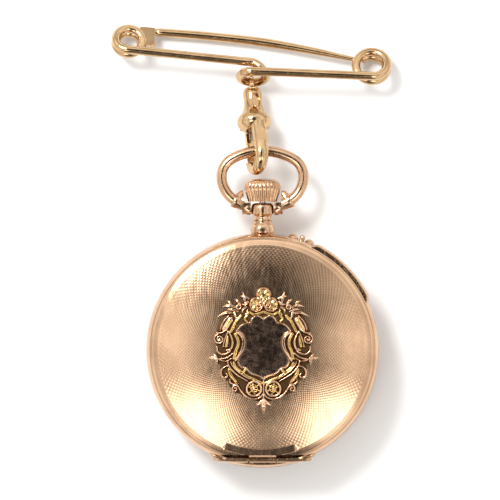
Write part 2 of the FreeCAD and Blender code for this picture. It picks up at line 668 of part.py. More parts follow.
def swivel_eye():
    """The ring and headed stem that turn in the top of the clip."""
    eye = torus(EYE_RADIUS, EYE_WIRE, V(0, EYE_REACH, 0), V(1, 0, 0))
    stem = rod(0.48, V(0, 8.1, 0), V(0, EYE_REACH - EYE_RADIUS, 0))
    head = rod(0.7, V(0, 8.1, 0), V(0, 8.6, 0))
    return clip_placed(joined([eye, stem, head]), 0.0)


# ---- brooch -------------------------------------------------------------------------------------------
def brooch_placed(shape):
    """From the brooch's own flat frame (X along it, Z out of its front) to where it lies."""
    shape.rotate(V(0, 0, 0), V(1, 0, 0), -BROOCH_TILT)
    shape.rotate(V(0, 0, 0), V(0, 0, 1), -BROOCH_HEADING)
    shape.translate(BROOCH_ANCHOR)
    return shape


def in_brooch(x, y, depth):
    """The brooch-frame point at the given depth that lies at X, Y of the whole object."""
    heading = math.radians(BROOCH_HEADING)
    tilt = math.radians(BROOCH_TILT)
    dx = x - BROOCH_ANCHOR.x
    dy = y - BROOCH_ANCHOR.y
    along = dx * math.cos(heading) - dy * math.sin(heading)
    across = dx * math.sin(heading) + dy * math.cos(heading)
    return V(along, (across - depth * math.sin(tilt)) / math.cos(tilt), depth)


LEFT_COIL = in_brooch(-18.9, 44.2, 0.0)
RIGHT_COIL = in_brooch(15.5, 40.7, 0.0)
NEEDLE_ROOT = in_brooch(13.0, 41.25, NEEDLE_DEPTH)
NEEDLE_MIDDLE = in_brooch(-0.5, 43.75, NEEDLE_DEPTH)
NEEDLE_TIP = in_brooch(-16.2, 45.2, NEEDLE_DEPTH)


def coil_rings(centre, radius):
    rings = []
    for turn in range(3):
        rings.append(torus(radius, PIN_WIRE, centre - V(0, 0, RING_STEP * turn), V(0, 0, 1)))
    return rings


def leaning_loop():
    """The middle loop that holds the clip's eye; its front arc is the start of the right arm."""
    lean = math.radians(LOOP_LEAN)
    centre = BROOCH_ANCHOR - V(0, math.cos(lean), math.sin(lean)) * LOOP_RADIUS
    return torus(LOOP_RADIUS, PIN_WIRE, centre, V(0, -math.sin(lean), math.cos(lean))), centre


def brooch_frame():
    """The bent wire: both spring coils, the two lower arms, the middle loop and the catch."""
    left_foot = LEFT_COIL - V(0, LEFT_COIL_RADIUS, 0)
    right_foot = RIGHT_COIL - V(0, RIGHT_COIL_RADIUS, 0)
    left_end = in_brooch(-1.3, 40.75, -0.7)
    right_arm = rod(PIN_WIRE, V(0, 0, 0), right_foot)
    left_arm = rod(PIN_WIRE, left_foot, left_end)
    tab = block(-16.6, -14.2, 2.9, 5.8, -0.75, -0.45)
    lip = block(-14.8, -14.2, 2.9, 3.35, -2.0, -0.45)
    parts = [left_arm, right_arm, Part.makeSphere(PIN_WIRE, left_end), tab, lip]
    parts += coil_rings(LEFT_COIL, LEFT_COIL_RADIUS) + coil_rings(RIGHT_COIL, RIGHT_COIL_RADIUS)
    frame = brooch_placed(joined(parts))
    loop, loop_centre = leaning_loop()
    bend_start = V(-1.3, 40.75, 3.97)
    bend_end = loop_centre + V(LOOP_RADIUS, 0, 0)
    return joined([frame, loop, rod(PIN_WIRE, bend_start, bend_end), Part.makeSphere(PIN_WIRE, bend_end)])


def brooch_needle():
    """The springing arm of the pin, swelling from its root and sharp at its tip."""
    first = NEEDLE_MIDDLE - NEEDLE_ROOT
    second = NEEDLE_TIP - NEEDLE_MIDDLE
    root = Part.makeCone(0.36, 0.62, first.Length, NEEDLE_ROOT, first)
    knee = Part.makeSphere(0.62, NEEDLE_MIDDLE)
    shaft = Part.makeCone(0.62, 0.52, second.Length * 0.8, NEEDLE_MIDDLE, second)
    point = Part.makeCone(0.52, 0.08, second.Length * 0.2, NEEDLE_MIDDLE + second * 0.8, second)
    return brooch_placed(joined([root, knee, shaft, point]))


# ---- movement -----------------------------------------------------------------------------------------
JEWELLED = (THIRD, FOURTH, ESCAPE, PALLET, BALANCE)


def main_plate():
    plate = cylinder(PLATE_RADIUS, PLATE_BACK, PLATE_FRONT)
    for place in JEWELLED:
        plate = plate.cut(cylinder(JEWEL_SEAT, PLATE_BACK - 1, PLATE_FRONT + 1, place))
    plate = plate.cut(cylinder(0.4, PLATE_BACK - 1, PLATE_FRONT + 1))
    plate = plate.cut(cylinder(0.5, PLATE_BACK - 1, PLATE_BACK + 0.8, BARREL))
    plate = plate.cut(cylinder(0.22, PLATE_BACK - 1, PLATE_FRONT + 1, MINUTE_WHEEL))
    plate = plate.cut(stem_hole(0.62, 7.6, 14.0))
    plate = plate.cut(block(-1.6, 1.6, 9.6, 11.5, PLATE_BACK - 1, PLATE_FRONT + 1))
    yoke_slot = block(-0.2, 6.4, 7.4, 9.4, PLATE_FRONT - 0.7, PLATE_FRONT + 1)
    plate = plate.cut(yoke_slot)
    plate = plate.cut(set_pin_rod(SET_PIN_RADIUS + 0.08, 9.0, 14.0))
    for place in BRIDGE_SCREW_PLACES:
        plate = plate.cut(cylinder(0.23, PLATE_BACK - 1, BRIDGE_SCREW_END + 0.05, place))
    for place in CASE_SCREW_PLACES:
        plate = plate.cut(cylinder(0.62, PLATE_BACK - 1, 4.62, place))
        plate = plate.cut(cylinder(0.26, PLATE_BACK - 1, 5.7, place))
    for angle in (30.0, 150.0, 270.0):
        plate = plate.cut(cylinder(0.42, PLATE_BACK + 0.5, PLATE_FRONT + 1, at_angle(11.6, angle)))
    return plate


def bridge_plate(x0, x1, y0, y1, feet):
    """A bridge: the part of a disc inside a rectangle, on curved feet given by their angles."""
    slab = cylinder(BRIDGE_RADIUS, BRIDGE_OUT, BRIDGE_IN).common(block(x0, x1, y0, y1, 0.0, 9.0))
    parts = [slab]
    for first, last in feet:
        parts.append(sector(BRIDGE_RADIUS - 0.06, 11.75, BRIDGE_IN - 0.1, PLATE_BACK, first, last))
    return joined(parts)


def pivot_seats(body, places):
    for place in places:
        body = body.cut(cylinder(JEWEL_SEAT, BRIDGE_OUT - 1, BRIDGE_IN + 1, place))
    return body


def train_bridge():
    body = bridge_plate(-6.0, 12.0, -13.0, 0.75, ((250.0, 305.0), (338.0, 342.0)))
    body = body.cut(cylinder(3.95, 0.0, 4.4, BALANCE)).cut(cylinder(1.9, 0.0, 4.4, PALLET))
    body = pivot_seats(body, (THIRD, FOURTH, ESCAPE))
    body = body.cut(cylinder(0.4, 0.0, 3.0))
    return screw_room(body, BRIDGE_SCREW_PLACES[3:5])


def barrel_bridge():
    body = bridge_plate(-13.0, 2.6, 0.9, 13.0, ((105.0, 122.0), (167.0, 175.0)))
    body = body.cut(cylinder(0.62, 0.0, 3.0, BARREL))
    body = body.cut(cylinder(CROWN_FACE_RADIUS + 0.3, 0.0, 4.5, CROWN_WHEEL))
    return screw_room(body, BRIDGE_SCREW_PLACES[0:2])


def balance_cock():
    """The arm that carries the balance's outer pivot."""
    foot_place = BRIDGE_SCREW_PLACES[5]
    arm_angle = math.degrees(direction(foot_place, BALANCE))
    arm = block(0.0, math.dist(foot_place, BALANCE), -0.95, 0.95, BRIDGE_OUT, BRIDGE_IN)
    arm.rotate(V(0, 0, 0), V(0, 0, 1), arm_angle)
    arm = moved(arm, foot_place)
    table = cylinder(1.15, BRIDGE_OUT, BRIDGE_IN, BALANCE)
    heel = cylinder(1.05, BRIDGE_OUT, PLATE_BACK, foot_place).common(cylinder(BRIDGE_RADIUS, 0.0, 9.0))
    body = pivot_seats(joined([arm, table, heel]), (BALANCE,))
    return screw_room(body, BRIDGE_SCREW_PLACES[5:])


def pallet_bridge():
    """The small bridge that carries the pallet fork's outer pivot."""
    across = math.degrees(direction(ESCAPE, BALANCE)) - 90.0
    foot = at_angle(3.1, across, PALLET)
    arm = block(-0.6, 3.1, -0.6, 0.6, 3.1, 3.5)
    arm.rotate(V(0, 0, 0), V(0, 0, 1), across)
    arm = moved(arm, PALLET)
    heel = cylinder(0.75, 3.1, PLATE_BACK, foot)
    return joined([arm, heel, cylinder(0.7, 3.1, 3.5, PALLET)]).cut(cylinder(0.15, 0, 9, PALLET))


def jewels():
    """Pierced ruby bearings in the plate and in the bridges."""
    stones = []
    for place in JEWELLED:
        stones.append(ring(JEWEL_RADIUS, JEWEL_HOLE, PLATE_BACK, PLATE_BACK + 0.5, place))
        if place != PALLET:
            stones.append(ring(JEWEL_RADIUS, JEWEL_HOLE, BRIDGE_IN - 0.5, BRIDGE_IN, place))
    return Part.makeCompound(stones)


def arbor(place, z0, z1, radius=ARBOR_RADIUS, pivot=0.4):
    """A staff with a thin pivot at each end."""
    return joined([cylinder(radius, z0, z1, place), cylinder(PIVOT_RADIUS, z0 - pivot, z1 + pivot, place)])


BARREL_PHASE = 0.0
CENTRE_PINION_PHASE = meshed_phase(BARREL_PHASE, BARREL_TEETH, CENTRE_PINION, direction(BARREL, CENTRE))
CENTRE_PHASE = 0.0
THIRD_PINION_PHASE = meshed_phase(CENTRE_PHASE, CENTRE_TEETH, THIRD_PINION, direction(CENTRE, THIRD))
THIRD_PHASE = 0.0
FOURTH_PINION_PHASE = meshed_phase(THIRD_PHASE, THIRD_TEETH, FOURTH_PINION, direction(THIRD, FOURTH))
FOURTH_PHASE = 0.0
ESCAPE_PINION_PHASE = meshed_phase(FOURTH_PHASE, FOURTH_TEETH, ESCAPE_PINION, direction(FOURTH, ESCAPE))
CROWN_GEAR_MODULE = 2 * math.dist(BARREL, CROWN_WHEEL) / (CROWN_GEAR_TEETH + RATCHET_TEETH)
RATCHET_PHASE = meshed_phase(0.0, CROWN_GEAR_TEETH, RATCHET_TEETH, direction(CROWN_WHEEL, BARREL))


def barrel():
    drum = ring(4.85, 4.55, 3.4, 4.4)
    floor = cylinder(4.85, 4.15, 4.4)
    teeth = gear_blank(BARREL_TEETH, BARREL_MODULE, 3.98, 4.4, BARREL_PHASE).cut(cylinder(4.6, 0, 9))
    return moved(joined([drum, floor, teeth]).cut(cylinder(0.75, 0, 9)), BARREL)


def barrel_cover():
    return ring(4.85, 0.75, 3.25, 3.39, BARREL)


def mainspring():
    return moved(spiral_strip(1.5, 4.3, 7, 0.1, 3.5, 4.05), BARREL)


def barrel_arbor():
    return joined([cylinder(0.7, 3.2, 4.45, BARREL), cylinder(0.42, BRIDGE_OUT, PLATE_BACK + 0.7, BARREL)])


def ratchet_wheel():
    low, high = SIDE_PLATE_Z
    wheel = gear_blank(RATCHET_TEETH, CROWN_GEAR_MODULE, low, high, RATCHET_PHASE)
    screw_head = cylinder(1.0, low - 0.02, low + 0.1)
    return moved(wheel.cut(cylinder(1.05, 0, low + 0.1)).fuse(screw_head), BARREL)


def crown_wheel():
    low, high = SIDE_PLATE_Z
    gear = gear_blank(CROWN_GEAR_TEETH, CROWN_GEAR_MODULE, low, high)
    wall = ring(CROWN_FACE_RADIUS, CROWN_FACE_RADIUS - 0.35, high - 0.05, 4.28)
    gaps = []
    for tooth in range(CROWN_FACE_TEETH):
        gap = block(0.0, CROWN_FACE_RADIUS + 0.5, -0.17, 0.17, 4.05, 4.5)
        gap.rotate(V(0, 0, 0), V(0, 0, 1), (tooth + 0.5) * 360.0 / CROWN_FACE_TEETH)
        gaps.append(gap)
    core = cylinder(0.5, high - 0.05, 3.6)
    return moved(joined([gear, wall.cut(Part.makeCompound(gaps)), core]), CROWN_WHEEL)


def click():
    """The pawl that stops the ratchet wheel from unwinding."""
    heading = 200.0
    pivot = at_angle(6.1, heading - 8.0, BARREL)
    tip = at_angle(5.2, heading + 3.0, BARREL)
    low, high = SIDE_PLATE_Z
    nose = V(tip[0], tip[1], low)
    heel = V(pivot[0], pivot[1], low)
    side = V(0, 0, 1).cross(nose - heel).normalize() * 0.35
    face = Part.Face(Part.makePolygon([heel - side, nose, heel + side, heel - side]))
    return face.extrude(V(0, 0, high - low)).fuse(cylinder(0.5, low, high, pivot))


def click_spring():
    low, high = SIDE_PLATE_Z
    start = at_angle(6.72, 196.0, BARREL)
    end = at_angle(6.9, 214.0, BARREL)
    along = V(end[0] - start[0], end[1] - start[1], 0)
    leaf = block(0.0, along.Length, -0.06, 0.06, low + 0.05, high)
    leaf.rotate(V(0, 0, 0), V(0, 0, 1), math.degrees(math.atan2(along.y, along.x)))
    return moved(leaf, start).fuse(cylinder(0.32, low + 0.05, high, end))


def centre_wheel():
    wheel = spoked_gear(CENTRE_TEETH, TRAIN_MODULE, 2.9, 3.1, CENTRE_PHASE)
    pinion = gear_blank(CENTRE_PINION, BARREL_MODULE, 3.92, 4.5, CENTRE_PINION_PHASE)
    staff = joined([cylinder(0.33, 2.2, 6.35), cylinder(0.3, 6.35, 8.2)])
    return joined([wheel, pinion, staff])


def third_wheel():
    wheel = spoked_gear(THIRD_TEETH, TRAIN_MODULE, 3.5, 3.68, THIRD_PHASE)
    pinion = gear_blank(THIRD_PINION, TRAIN_MODULE, 2.86, 3.3, THIRD_PINION_PHASE)
    return moved(joined([wheel, pinion, arbor(CENTRE, 2.84, 4.56)]), THIRD)


def fourth_wheel():
    wheel = spoked_gear(FOURTH_TEETH, FOURTH_MODULE, 2.9, 3.08, FOURTH_PHASE, hub=0.55)
    pinion = gear_blank(FOURTH_PINION, TRAIN_MODULE, 3.42, 3.8, FOURTH_PINION_PHASE)
    return moved(joined([wheel, pinion, arbor(CENTRE, 2.84, 4.56)]), FOURTH)


def escape_wheel():
    """Fifteen pointed club teeth on a spoked rim."""
    rim = ring(1.5, 1.2, 3.85, 4.0)
    parts = [rim, cylinder(0.45, 3.85, 4.0)]
    for tooth in range(ESCAPE_TEETH):
        angle = 360.0 * tooth / ESCAPE_TEETH
        root_a = at_angle(1.4, angle - 8.0)
        root_b = at_angle(1.4, angle + 5.0)
        tip_a = at_angle(ESCAPE_RADIUS, angle + 5.0)
        tip_b = at_angle(ESCAPE_RADIUS - 0.08, angle + 9.0)
        corners = [V(x, y, 3.85) for x, y in (root_a, root_b, tip_b, tip_a)]
        parts.append(Part.Face(Part.makePolygon(corners + [corners[0]])).extrude(V(0, 0, 0.15)))
    for arm in range(4):
        spoke = block(0.0, 1.3, -0.1, 0.1, 3.85, 4.0)
        spoke.rotate(V(0, 0, 0), V(0, 0, 1), 45.0 + 90.0 * arm)
        parts.append(spoke)
    pinion = gear_blank(ESCAPE_PINION, FOURTH_MODULE, 2.86, 3.3, ESCAPE_PINION_PHASE)
    return moved(joined(parts + [pinion, arbor(CENTRE, 2.84, 4.56, 0.15)]), ESCAPE)


def pallet_fork():
    """Anchor arms with two stones, and the lever with its forked end."""
    arms = block(-0.25, 0.05, -1.55, 1.55, 3.8, 4.05)
    stones = [block(-0.75, -0.2, side * 1.42 - 0.13, side * 1.42 + 0.13, 3.8, 4.05) for side in (-1, 1)]
    reach = math.dist(PALLET, BALANCE) - 1.35
    lever = block(0.0, reach, -0.13, 0.13, 3.8, 4.05)
    fork = block(reach - 0.05, reach + 0.7, -0.42, 0.42, 3.8, 4.05)
    fork = fork.cut(block(reach + 0.2, reach + 1.0, -0.19, 0.19, 3.0, 5.0))
    body = joined([arms, lever, fork] + stones)
    body.rotate(V(0, 0, 0), V(0, 0, 1), math.degrees(direction(PALLET, BALANCE)))
    staff = joined([cylinder(0.14, 3.55, 4.56), cylinder(PIVOT_RADIUS, 3.2, 4.95)])
    return moved(joined([body, staff]), PALLET)


def balance_wheel():
    """Balance with its timing screws, staff, roller and impulse pin."""
    parts = [ring(BALANCE_RADIUS - 0.25, 2.95, 3.15, 3.5), block(-3.05, 3.05, -0.2, 0.2, 3.2, 3.4),
             cylinder(0.5, 3.15, 3.45)]
    for index in range(14):
        angle = 360.0 * (index + 0.5) / 14
        inner = at_angle(BALANCE_RADIUS - 0.4, angle)
        outer = at_angle(BALANCE_RADIUS, angle)
        parts.append(rod(0.14, V(inner[0], inner[1], 3.325), V(outer[0], outer[1], 3.325)))
    parts.append(cylinder(0.7, 4.18, 4.35))
    pin = at_angle(0.55, math.degrees(direction(BALANCE, PALLET)))
    parts.append(cylinder(0.09, 3.85, 4.25, pin))
    parts.append(arbor(CENTRE, 2.84, 4.56, 0.17))
    return moved(joined(parts), BALANCE)


def hairspring():
    return moved(spiral_strip(0.5, 2.2, 9, 0.05, 2.9, 3.02, 24), BALANCE)


def regulator():
    """Index lever on the balance cock."""
    body = joined([ring(1.0, 0.5, 1.9, 2.0), block(0.9, 2.6, -0.12, 0.12, 1.9, 2.0)])
    body.rotate(V(0, 0, 0), V(0, 0, 1), -35.0)
    return moved(body, BALANCE)


def setting_yoke():
    """The lever that the setting pin rocks to throw the crown from winding to setting."""
    pivot = (3.6, 8.4)
    low = PLATE_FRONT - 0.55
    high = PLATE_FRONT - 0.1
    arm = block(-2.9, 1.9, -0.22, 0.22, low, high)
    boss = cylinder(0.5, low, high)
    return moved(joined([arm, boss]), pivot)


def cannon_pinion():
    pinion = gear_blank(12, MOTION_MODULE, 6.42, 6.72)
    pipe_ = cylinder(0.48, 6.7, 8.05)
    return joined([pinion, pipe_]).cut(cylinder(0.34, 6.0, 9.0))


def minute_wheel():
    phase = meshed_phase(0.0, 12, 36, direction(CENTRE, MINUTE_WHEEL))
    wheel = gear_blank(36, MOTION_MODULE, 6.42, 6.6, phase)
    pinion = gear_blank(10, HOUR_MODULE, 6.6, 6.98, 0.0)
    post = cylinder(0.18, 5.6, 6.5)
    return moved(joined([wheel, pinion, post]), MINUTE_WHEEL)


def hour_wheel():
    phase = meshed_phase(0.0, 10, 40, direction(MINUTE_WHEEL, CENTRE))
    wheel = gear_blank(40, HOUR_MODULE, 6.78, 6.95, phase)
    return joined([wheel, cylinder(0.7, 6.9, 7.72)]).cut(cylinder(0.53, 6.0, 9.0))


def dial():
    return ring(13.3, 0.8, DIAL_BACK, DIAL_FRONT)


def dial_feet():
    return Part.makeCompound([cylinder(0.4, PLATE_BACK + 0.6, DIAL_BACK, at_angle(11.6, angle))
                              for angle in (30.0, 150.0, 270.0)])


def hand(length, tail, width, hub, bore, z0, z1):
    """A plain tapered hand that points to +Y."""
    corners = [V(-width * 0.6, -tail, z0), V(-width, length * 0.55, z0), V(0, length, z0),
               V(width, length * 0.55, z0), V(width * 0.6, -tail, z0)]
    blade = Part.Face(Part.makePolygon(corners + [corners[0]])).extrude(V(0, 0, z1 - z0))
    return blade.fuse(cylinder(hub, z0, z1)).cut(cylinder(bore, z0 - 1, z1 + 1))


def hour_hand():
    body = hand(6.6, 0.5, 0.55, 1.0, 0.705, 7.56, 7.7)
    body.rotate(V(0, 0, 0), V(0, 0, 1), 60.0)
    return body


def minute_hand():
    body = hand(10.2, 0.7, 0.42, 0.75, 0.485, 7.88, 8.02)
    body.rotate(V(0, 0, 0), V(0, 0, 1), -60.0)
    return body


NODES = {
    "case_band": case_band, "front_lid": front_lid, "back_lid": back_lid, "cuvette": cuvette,
    "cartouche": cartouche, "bezel": bezel, "crystal": crystal, "lid_hinge_pins": lid_hinge_pins,
    "pendant": pendant, "bow": bow, "bow_screws": bow_screws, "crown": crown,
    "winding_stem": winding_stem, "winding_pinion": winding_pinion, "set_pin": set_pin,
    "pin_guards": pin_guards, "lock_spring": lock_spring, "lift_spring": lift_spring,
    "case_screws": case_screws, "clip_body": clip_body, "clip_gate": clip_gate,
    "gate_rivet": gate_rivet, "gate_spring": gate_spring, "swivel_eye": swivel_eye,
    "brooch_frame": brooch_frame, "brooch_needle": brooch_needle, "main_plate": main_plate,
    "train_bridge": train_bridge, "barrel_bridge": barrel_bridge, "balance_cock": balance_cock,
    "pallet_bridge": pallet_bridge, "bridge_screws": bridge_screws, "jewels": jewels,
    "barrel": barrel, "barrel_cover": barrel_cover, "mainspring": mainspring,
    "barrel_arbor": barrel_arbor, "ratchet_wheel": ratchet_wheel, "crown_wheel": crown_wheel,
    "click": click, "click_spring": click_spring, "centre_wheel": centre_wheel,
    "third_wheel": third_wheel, "fourth_wheel": fourth_wheel, "escape_wheel": escape_wheel,
    "pallet_fork": pallet_fork, "balance_wheel": balance_wheel, "hairspring": hairspring,
    "regulator": regulator, "setting_yoke": setting_yoke, "cannon_pinion": cannon_pinion,
    "minute_wheel": minute_wheel, "hour_wheel": hour_wheel, "dial": dial, "dial_feet": dial_feet,
    "hour_hand": hour_hand, "minute_hand": minute_hand,
}


def main():
    os.makedirs("parts", exist_ok=True)
    for name, make in NODES.items():
        shape = make()
        box = shape.BoundBox
        print(f"{name}: {len(shape.Solids)} solids, valid {shape.isValid()}, {shape.Volume:.3f} mm3,",
              f"z {box.ZMin:.2f} to {box.ZMax:.2f}")
        shape.exportStep(f"parts/{name}.step")


main()
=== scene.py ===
import json
import math

import bmesh
import bpy
import numpy as np
from mathutils import Matrix, Vector


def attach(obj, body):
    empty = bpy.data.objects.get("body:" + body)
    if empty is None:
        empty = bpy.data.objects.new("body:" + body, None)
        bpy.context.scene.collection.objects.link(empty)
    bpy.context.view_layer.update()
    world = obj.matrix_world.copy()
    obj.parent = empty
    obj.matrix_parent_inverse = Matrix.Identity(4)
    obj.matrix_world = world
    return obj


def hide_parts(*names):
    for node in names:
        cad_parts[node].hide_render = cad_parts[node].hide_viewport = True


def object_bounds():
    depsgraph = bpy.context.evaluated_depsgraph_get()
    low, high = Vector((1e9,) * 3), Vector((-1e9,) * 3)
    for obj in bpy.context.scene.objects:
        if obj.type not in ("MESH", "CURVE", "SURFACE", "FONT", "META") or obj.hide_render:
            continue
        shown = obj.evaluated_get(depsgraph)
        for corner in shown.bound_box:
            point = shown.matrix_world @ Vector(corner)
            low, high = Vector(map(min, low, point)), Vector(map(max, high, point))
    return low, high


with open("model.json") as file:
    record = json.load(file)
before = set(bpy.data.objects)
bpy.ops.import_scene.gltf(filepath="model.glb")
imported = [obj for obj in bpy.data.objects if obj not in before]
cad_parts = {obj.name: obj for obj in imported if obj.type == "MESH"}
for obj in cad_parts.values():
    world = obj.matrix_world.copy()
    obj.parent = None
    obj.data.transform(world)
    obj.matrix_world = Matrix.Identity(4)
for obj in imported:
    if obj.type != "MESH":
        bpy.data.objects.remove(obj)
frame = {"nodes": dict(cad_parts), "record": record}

CAD_LOW, CAD_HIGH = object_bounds()
MM = 0.001
MIDDLE_Z = 5.5


# ---- mesh helpers: every shape is written in millimetres in the part's own frame ------------------
def new_object(name, verts, faces):
    mesh = bpy.data.meshes.new(name)
    mesh.from_pydata((np.asarray(verts, float) * MM).tolist(), [], [tuple(f) for f in faces])
    mesh.validate()
    obj = bpy.data.objects.new(name, mesh)
    bpy.context.scene.collection.objects.link(obj)
    smooth(obj, 35.0)
    return obj


def smooth(obj, angle):
    mesh = obj.data
    mesh.polygons.foreach_set("use_smooth", [True] * len(mesh.polygons))
    mesh.set_sharp_from_angle(angle=math.radians(angle))


def outward(obj):
    """Turns every face so that it looks outwards."""
    bm = bmesh.new()
    bm.from_mesh(obj.data)
    bmesh.ops.recalc_face_normals(bm, faces=bm.faces)
    bm.to_mesh(obj.data)
    bm.free()
    return obj


def grid_faces(rows, columns, closed=True, start=0):
    row = np.arange(rows - 1)[:, None]
    column = np.arange(columns if closed else columns - 1)[None, :]
    after = (column + 1) % columns
    first = start + row * columns + column
    second = start + row * columns + after
    quads = np.stack([first, second, second + columns, first + columns], axis=-1)
    return quads.reshape(-1, 4).tolist()


def solid(name, verts, faces):
    return outward(new_object(name, verts, faces))


def circle_angles(count):
    return 2 * math.pi * np.arange(count) / count


def polar(radius, angle, height):
    return np.stack([radius * np.cos(angle), radius * np.sin(angle), height], axis=-1)


def skin(points):
    """Verts and faces of a surface through rings of points, with its two ends filled."""
    rows, columns = points.shape[:2]
    faces = grid_faces(rows, columns)
    faces.append(list(range(columns))[::-1])
    faces.append(list(range((rows - 1) * columns, rows * columns)))
    return points.reshape(-1, 3), faces


def tyre(points):
    """Verts and faces of a surface through rings of points, whose last ring joins the first."""
    rows, columns = points.shape[:2]
    count = rows * columns
    return points.reshape(-1, 3), [[v % count for v in face] for face in grid_faces(rows + 1, columns)]


def spun(profile, columns, axis="Z", centre=(0.0, 0.0, 0.0)):
    """Rows of points of an outline of (radius, height) pairs turned about Z or Y."""
    profile = np.asarray(profile, float)
    angle = circle_angles(columns)
    x = profile[:, 0:1] * np.cos(angle)
    y = profile[:, 0:1] * np.sin(angle)
    height = np.repeat(profile[:, 1:2], columns, axis=1)
    points = np.stack([x, y, height], axis=-1)
    if axis == "Y":
        points = np.stack([points[..., 0], points[..., 2], -points[..., 1]], axis=-1)
    return points + np.asarray(centre, float)


def arc3(first, middle, last, count):
    """Points of the circle arc through three (radius, height) points."""
    ax, ay = first
    bx, by = middle
    cx, cy = last
    d = 2 * (ax * (by - cy) + bx * (cy - ay) + cx * (ay - by))
    first_square = ax * ax + ay * ay
    middle_square = bx * bx + by * by
    last_square = cx * cx + cy * cy
    ux = (first_square * (by - cy) + middle_square * (cy - ay) + last_square * (ay - by)) / d
    uy = (first_square * (cx - bx) + middle_square * (ax - cx) + last_square * (bx - ax)) / d
    radius = math.hypot(ax - ux, ay - uy)
    start = math.atan2(ay - uy, ax - ux)
    mid = math.atan2(by - uy, bx - ux)
    end = math.atan2(cy - uy, cx - ux)
    turn = (end - start) % (2 * math.pi)
    if (mid - start) % (2 * math.pi) > turn:
        turn -= 2 * math.pi
    angles = start + turn * np.linspace(0, 1, count)
    return [(ux + radius * math.cos(a), uy + radius * math.sin(a)) for a in angles]


def curve_points(points, per_span):
    """A smooth line through the given points, by Catmull-Rom spans."""
    pts = np.asarray(points, float)
    pts = np.vstack([2 * pts[0] - pts[1], pts, 2 * pts[-1] - pts[-2]])
    out = []
    for i in range(1, len(pts) - 2):
        p0, p1, p2, p3 = pts[i - 1:i + 3]
        for t in np.linspace(0, 1, per_span, endpoint=False):
            out.append(0.5 * (2 * p1 + (p2 - p0) * t + (2 * p0 - 5 * p1 + 4 * p2 - p3) * t * t
                              + (3 * p1 - p0 - 3 * p2 + p3) * t ** 3))
    out.append(pts[-2])
    return np.array(out)


def tube(path, radii, sides, flat=1.0, round_ends=0):
    """Rows of points of a round wire along a path; flat squeezes it along its second axis."""
    path = np.asarray(path, float)
    radii = np.broadcast_to(np.asarray(radii, float), (len(path),)).copy()
    tangent = np.gradient(path, axis=0)
    tangent /= np.linalg.norm(tangent, axis=1)[:, None]
    side = np.cross(tangent[0], (0.0, 0.0, 1.0))
    if np.linalg.norm(side) < 1e-3:
        side = np.cross(tangent[0], (1.0, 0.0, 0.0))
    side /= np.linalg.norm(side)
    rows = []
    angle = circle_angles(sides)
    for place, heading, radius in zip(path, tangent, radii):
        side = side - heading * side.dot(heading)
        side /= np.linalg.norm(side)
        over = np.cross(side, heading)
        rows.append(place + radius * (np.cos(angle)[:, None] * side + flat * np.sin(angle)[:, None] * over))
    rows = np.array(rows)
    if round_ends:
        first = []
        last = []
        for step in range(round_ends, 0, -1):
            share = step / (round_ends + 0.15)
            shrink = math.sqrt(1 - share * share)
            first.append(path[0] + (rows[0] - path[0]) * shrink - tangent[0] * radii[0] * share)
            last.append(path[-1] + (rows[-1] - path[-1]) * shrink + tangent[-1] * radii[-1] * share)
        rows = np.concatenate([np.array(first), rows, np.array(last[::-1])])
    return rows


def ring_tube(path, radius, sides, up):
    """Verts and faces of a wire along a closed path."""
    path = np.asarray(path, float)
    tangent = np.roll(path, -1, axis=0) - np.roll(path, 1, axis=0)
    tangent /= np.linalg.norm(tangent, axis=1)[:, None]
    side = np.cross(tangent, np.asarray(up, float))
    side /= np.linalg.norm(side, axis=1)[:, None]
    over = np.cross(side, tangent)
    angle = circle_angles(sides)
    rows = path[:, None] + radius * (np.cos(angle)[None, :, None] * side[:, None]
                                     + np.sin(angle)[None, :, None] * over[:, None])
    return tyre(rows)


def box_points(x0, x1, y0, y1, z0, z1):
    corners = ((x0, y0), (x1, y0), (x1, y1), (x0, y1))
    return np.array([[(x, y, z) for x, y in corners] for z in (z0, z1)])


def merge(groups):
    """One list of verts and faces from several."""
    verts = []
    faces = []
    count = 0
    for some_verts, some_faces in groups:
        verts.append(np.asarray(some_verts, float))
        faces.extend([[v + count for v in face] for face in some_faces])
        count += len(some_verts)
    return np.vstack(verts), faces


def trimmed(obj, point, normal):
    """Cuts away what lies beyond a plane and closes the cut."""
    bm = bmesh.new()
    bm.from_mesh(obj.data)
    geometry = list(bm.verts) + list(bm.edges) + list(bm.faces)
    cut = bmesh.ops.bisect_plane(bm, geom=geometry, plane_co=Vector(point) * MM, plane_no=Vector(normal),
                                 clear_outer=True)
    edges = [e for e in cut["geom_cut"] if isinstance(e, bmesh.types.BMEdge)]
    bmesh.ops.triangle_fill(bm, edges=edges, use_beauty=True)
    bmesh.ops.recalc_face_normals(bm, faces=bm.faces)
    bm.to_mesh(obj.data)
    bm.free()
    return obj


def carved(obj, cutters, operation="DIFFERENCE"):
    """Takes the cutters out of obj, or joins them to it, and drops them."""
    for cutter in cutters:
        modifier = obj.modifiers.new("carve", "BOOLEAN")
        modifier.operation = operation
        modifier.solver = "EXACT"
        modifier.object = cutter
    bpy.context.view_layer.update()
    shape = obj.evaluated_get(bpy.context.evaluated_depsgraph_get())
    mesh = bpy.data.meshes.new_from_object(shape)
    obj.modifiers.clear()
    obj.data = mesh
    for cutter in cutters:
        bpy.data.objects.remove(cutter)
    return obj


def finish_piece(obj, slot, body, *nodes, angle=35.0, material=None):
    """Shades a piece, with its slot's material if no other is given, and says what it belongs to."""
    smooth(obj, angle)
    obj.data.materials.clear()
    obj.data.materials.append(material or BY_SLOT[slot])
    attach(obj, body)
    if nodes:
        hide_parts(*nodes)
    return obj


